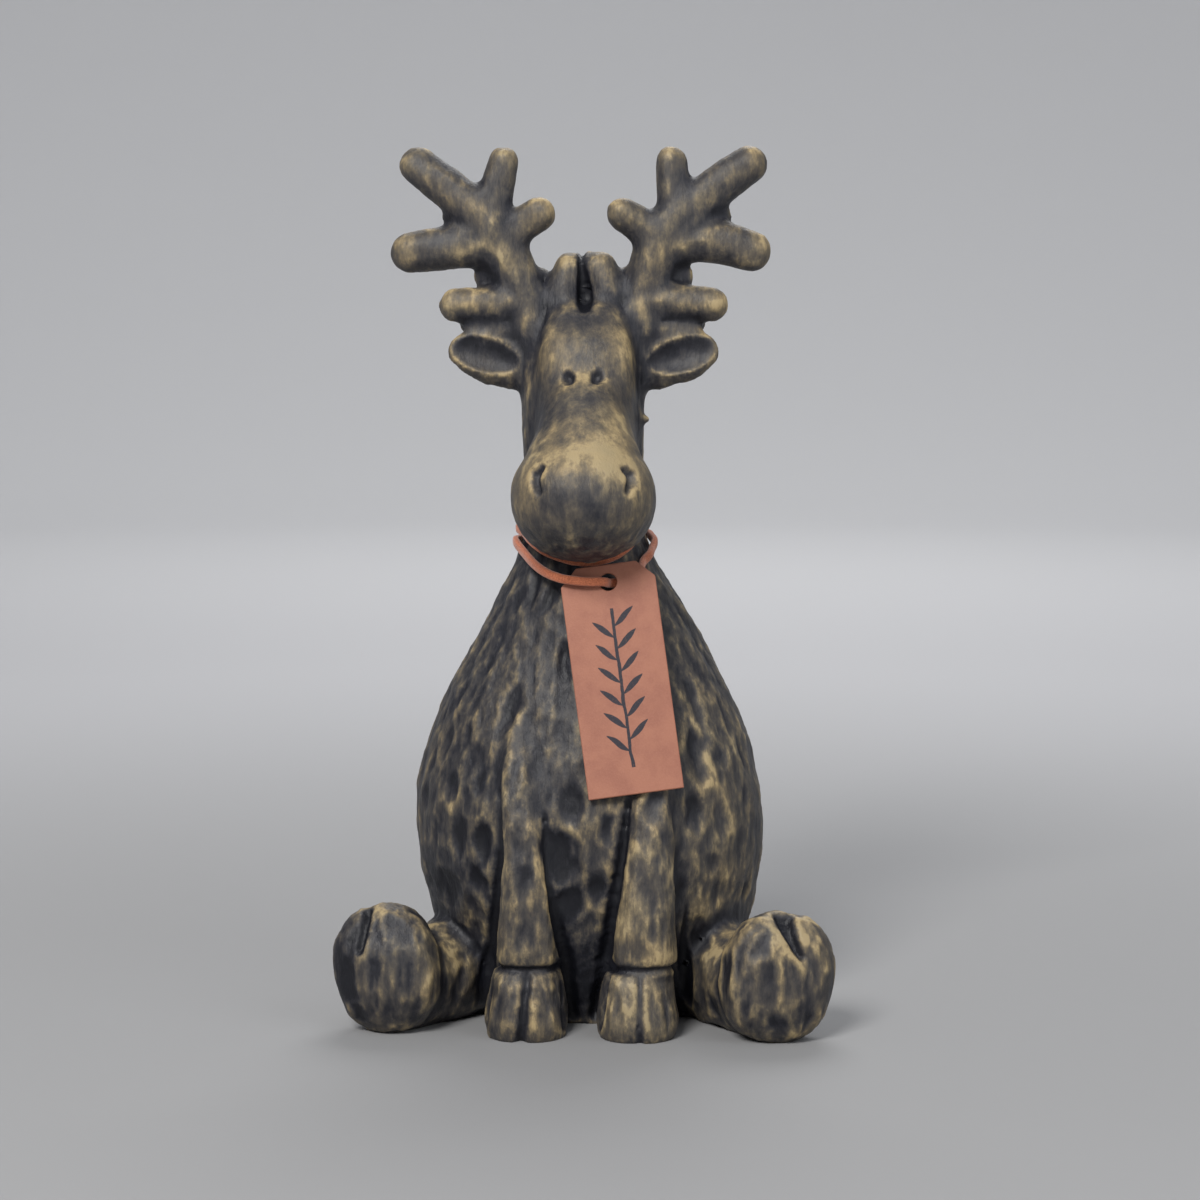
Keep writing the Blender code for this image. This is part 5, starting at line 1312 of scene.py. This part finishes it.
def make_lace(route):
    """The flat suede lace, its wide side upright and against the neck."""
    line = np.array([tuple(p) for p in route])
    along = np.concatenate([[0], np.cumsum(np.linalg.norm(np.diff(line, axis=0), axis=1))])
    line = smooth_rows(np.column_stack([along, line]), 0.0007)[:, 1:]
    tangents = np.gradient(line, axis=0)
    tangents /= np.linalg.norm(tangents, axis=1)[:, None]
    dice = random.Random(SEED)
    rings = []
    for p, t in zip(line, tangents):
        wide = np.array((0, 0, 1.0)) - t[2] * t
        wide /= np.linalg.norm(wide)
        thick = np.cross(wide, t)
        ring = []
        for k in range(LACE_SIDES):
            c, s = squircle(2 * math.pi * k / LACE_SIDES, 2.8)
            nap = 1 + dice.uniform(-0.012, 0.012)
            ring.append(p + (wide * c * LACE_DIAMETER + thick * s * LACE_THICKNESS) / 2 * nap)
        rings.append(ring)
    bm = bmesh.new()
    skin(bm, rings)
    mesh = bpy.data.meshes.new("lace_tube")
    bm.to_mesh(mesh)
    bm.free()
    mesh.shade_smooth()
    lace = dressed("lace_suede", mesh, suede("lace_leather", LACE_COLOUR, LACE_DARK), "lace_leather", "lace")
    return lace, line


KNOT_STRAND = 0.00125
KNOT_POINTS = 90


def make_knot(middle):
    """The knot behind the neck: one strand that runs through itself three times, pulled tight."""
    rings = []
    size = (KNOT_SIZE[0] - KNOT_STRAND, KNOT_SIZE[1] - KNOT_STRAND, KNOT_SIZE[2] - KNOT_STRAND)
    line = []
    for k in range(KNOT_POINTS):
        t = 2 * math.pi * k / KNOT_POINTS
        x, z, y = math.sin(t) + 2 * math.sin(2 * t), math.cos(t) - 2 * math.cos(2 * t), -math.sin(3 * t)
        line.append(Vector((x / 3 * size[0], y * size[1] * 0.62, z / 3 * size[2])))
    bm = bmesh.new()
    loops = []
    for k, p in enumerate(line):
        tangent = (line[(k + 1) % KNOT_POINTS] - line[k - 1]).normalized()
        side = tangent.cross(Vector((0, 1, 0))).normalized()
        up = side.cross(tangent)
        ring = []
        for j in range(12):
            a = 2 * math.pi * j / 12
            ring.append(bm.verts.new(middle + p + (side * math.cos(a) + up * math.sin(a)) * KNOT_STRAND))
        loops.append(ring)
    for k in range(KNOT_POINTS):
        low, high = loops[k], loops[(k + 1) % KNOT_POINTS]
        for j in range(12):
            m = (j + 1) % 12
            bm.faces.new((low[j], low[m], high[m], high[j]))
    bmesh.ops.recalc_face_normals(bm, faces=bm.faces)
    mesh = bpy.data.meshes.new("knot_strand")
    bm.to_mesh(mesh)
    bm.free()
    mesh.shade_smooth()
    return dressed("knot_suede", mesh, suede("knot_leather", LACE_COLOUR, LACE_DARK), "knot_leather", "lace_knot")


FLOOR_FLAT = 2.0
FLOOR_SWEEP = 1.0
FLOOR_WALL = 2.4


def make_floor():
    """A pale floor that sweeps up into a plain wall all round, painted darker near the middle and paler outwards as a
    painted falloff of light.
    """
    profile = [(0.0, 0.0)] + [(FLOOR_FLAT * k / 6, 0.0) for k in range(1, 7)]
    for k in range(1, 13):
        a = math.pi / 2 * k / 12
        profile.append((FLOOR_FLAT + FLOOR_SWEEP * math.sin(a), FLOOR_SWEEP * (1 - math.cos(a))))
    profile.append((FLOOR_FLAT + FLOOR_SWEEP, FLOOR_WALL))
    bm = bmesh.new()
    sides = 96
    loops = []
    for r, z in profile[1:]:
        loops.append([bm.verts.new((r * math.cos(2 * math.pi * k / sides), r * math.sin(2 * math.pi * k / sides), z))
                      for k in range(sides)])
    bm.faces.new(loops[0])
    for low, high in zip(loops, loops[1:]):
        for k in range(sides):
            m = (k + 1) % sides
            bm.faces.new((low[k], low[m], high[m], high[k]))
    bmesh.ops.recalc_face_normals(bm, faces=bm.faces)
    mesh = bpy.data.meshes.new("floor")
    bm.to_mesh(mesh)
    bm.free()
    mesh.shade_smooth()
    n = Nodes("pale_floor")
    soft = n.cloud(3, 3.0)
    away = n.vector("LENGTH", n.place())
    # Painted light falloff: darker round the figure, paler further out and up the wall.
    colour = n.blend(n.between(away, 0.15, 0.9), rgb(152, 152, 153), rgb(178, 178, 180))
    colour = n.blend(n.between(away, 0.9, 2.3), colour, rgb(216, 216, 217))
    mesh.materials.append(n.finish(colour, 0.8, n.bump(soft, 0.0001, 0.1), Specular_IOR_Level=0.2))
    floor = bpy.data.objects.new("floor", mesh)
    bpy.context.scene.collection.objects.link(floor)


def aim(obj, target):
    obj.rotation_mode = "QUATERNION"
    obj.rotation_quaternion = (Vector(target) - obj.location).to_track_quat("-Z", "Y")


def add_light(name, place, target, size, power, colour):
    data = bpy.data.lights.new(name, "AREA")
    data.shape = "DISK"
    data.size = size
    data.energy = power
    data.color = colour
    light = bpy.data.objects.new(name, data)
    light.location = place
    aim(light, target)
    bpy.context.scene.collection.objects.link(light)


# The photograph's viewpoint: degrees round and above, what it looks at, how far off, and its angle of view
VIEW_AROUND = 2.0
VIEW_ABOVE = 6.0
VIEW_TARGET = (0.0044, 0.0, 0.1341)
VIEW_DISTANCE = 1.0
VIEW_WIDTH = 0.3888
SENSOR = 36.0


def make_camera():
    data = bpy.data.cameras.new("camera")
    data.sensor_width = SENSOR
    data.lens = SENSOR * VIEW_DISTANCE / VIEW_WIDTH
    data.clip_start = 0.01
    data.clip_end = 50
    camera = bpy.data.objects.new("camera", data)
    around, above = math.radians(VIEW_AROUND), math.radians(VIEW_ABOVE)
    back = Vector((math.sin(around) * math.cos(above), -math.cos(around) * math.cos(above), math.sin(above)))
    camera.location = Vector(VIEW_TARGET) + back * VIEW_DISTANCE
    aim(camera, VIEW_TARGET)
    bpy.context.scene.collection.objects.link(camera)
    bpy.context.scene.camera = camera


def make_studio():
    make_floor()
    middle = (0, 0, 0.13)
    add_light("key", (-0.45, -1.25, 1.15), middle, 0.6, 24, (1.0, 0.985, 0.96))
    add_light("fill", (1.1, -0.9, 0.7), middle, 1.2, 5, (0.95, 0.98, 1.0))
    add_light("back_top", (0.1, 1.0, 1.2), (0, 0.75, 0), 1.0, 12, (1.0, 1.0, 1.0))
    add_light("wall_glow", (0.0, 1.3, 1.0), (0.0, 2.6, 0.25), 0.6, 2.5, (1.0, 1.0, 1.0))
    world = bpy.data.worlds.new("studio")
    world.use_nodes = True
    background = world.node_tree.nodes["Background"]
    background.inputs["Color"].default_value = (0.86, 0.89, 0.95, 1)
    background.inputs["Strength"].default_value = 0.38
    bpy.context.scene.world = world
    bpy.context.scene.view_settings.view_transform = "Standard"


def main():
    make_camera()
    figure = make_figure()
    tree = surface_tree(figure.data)
    lay = tag_frame(surface_tree(frame["nodes"]["reindeer"].data))
    tag = dress_tag(lay)
    knot = make_knot(knot_middle(tree))
    lace, line = make_lace(lace_route(tree, lay))
    make_studio()


main()
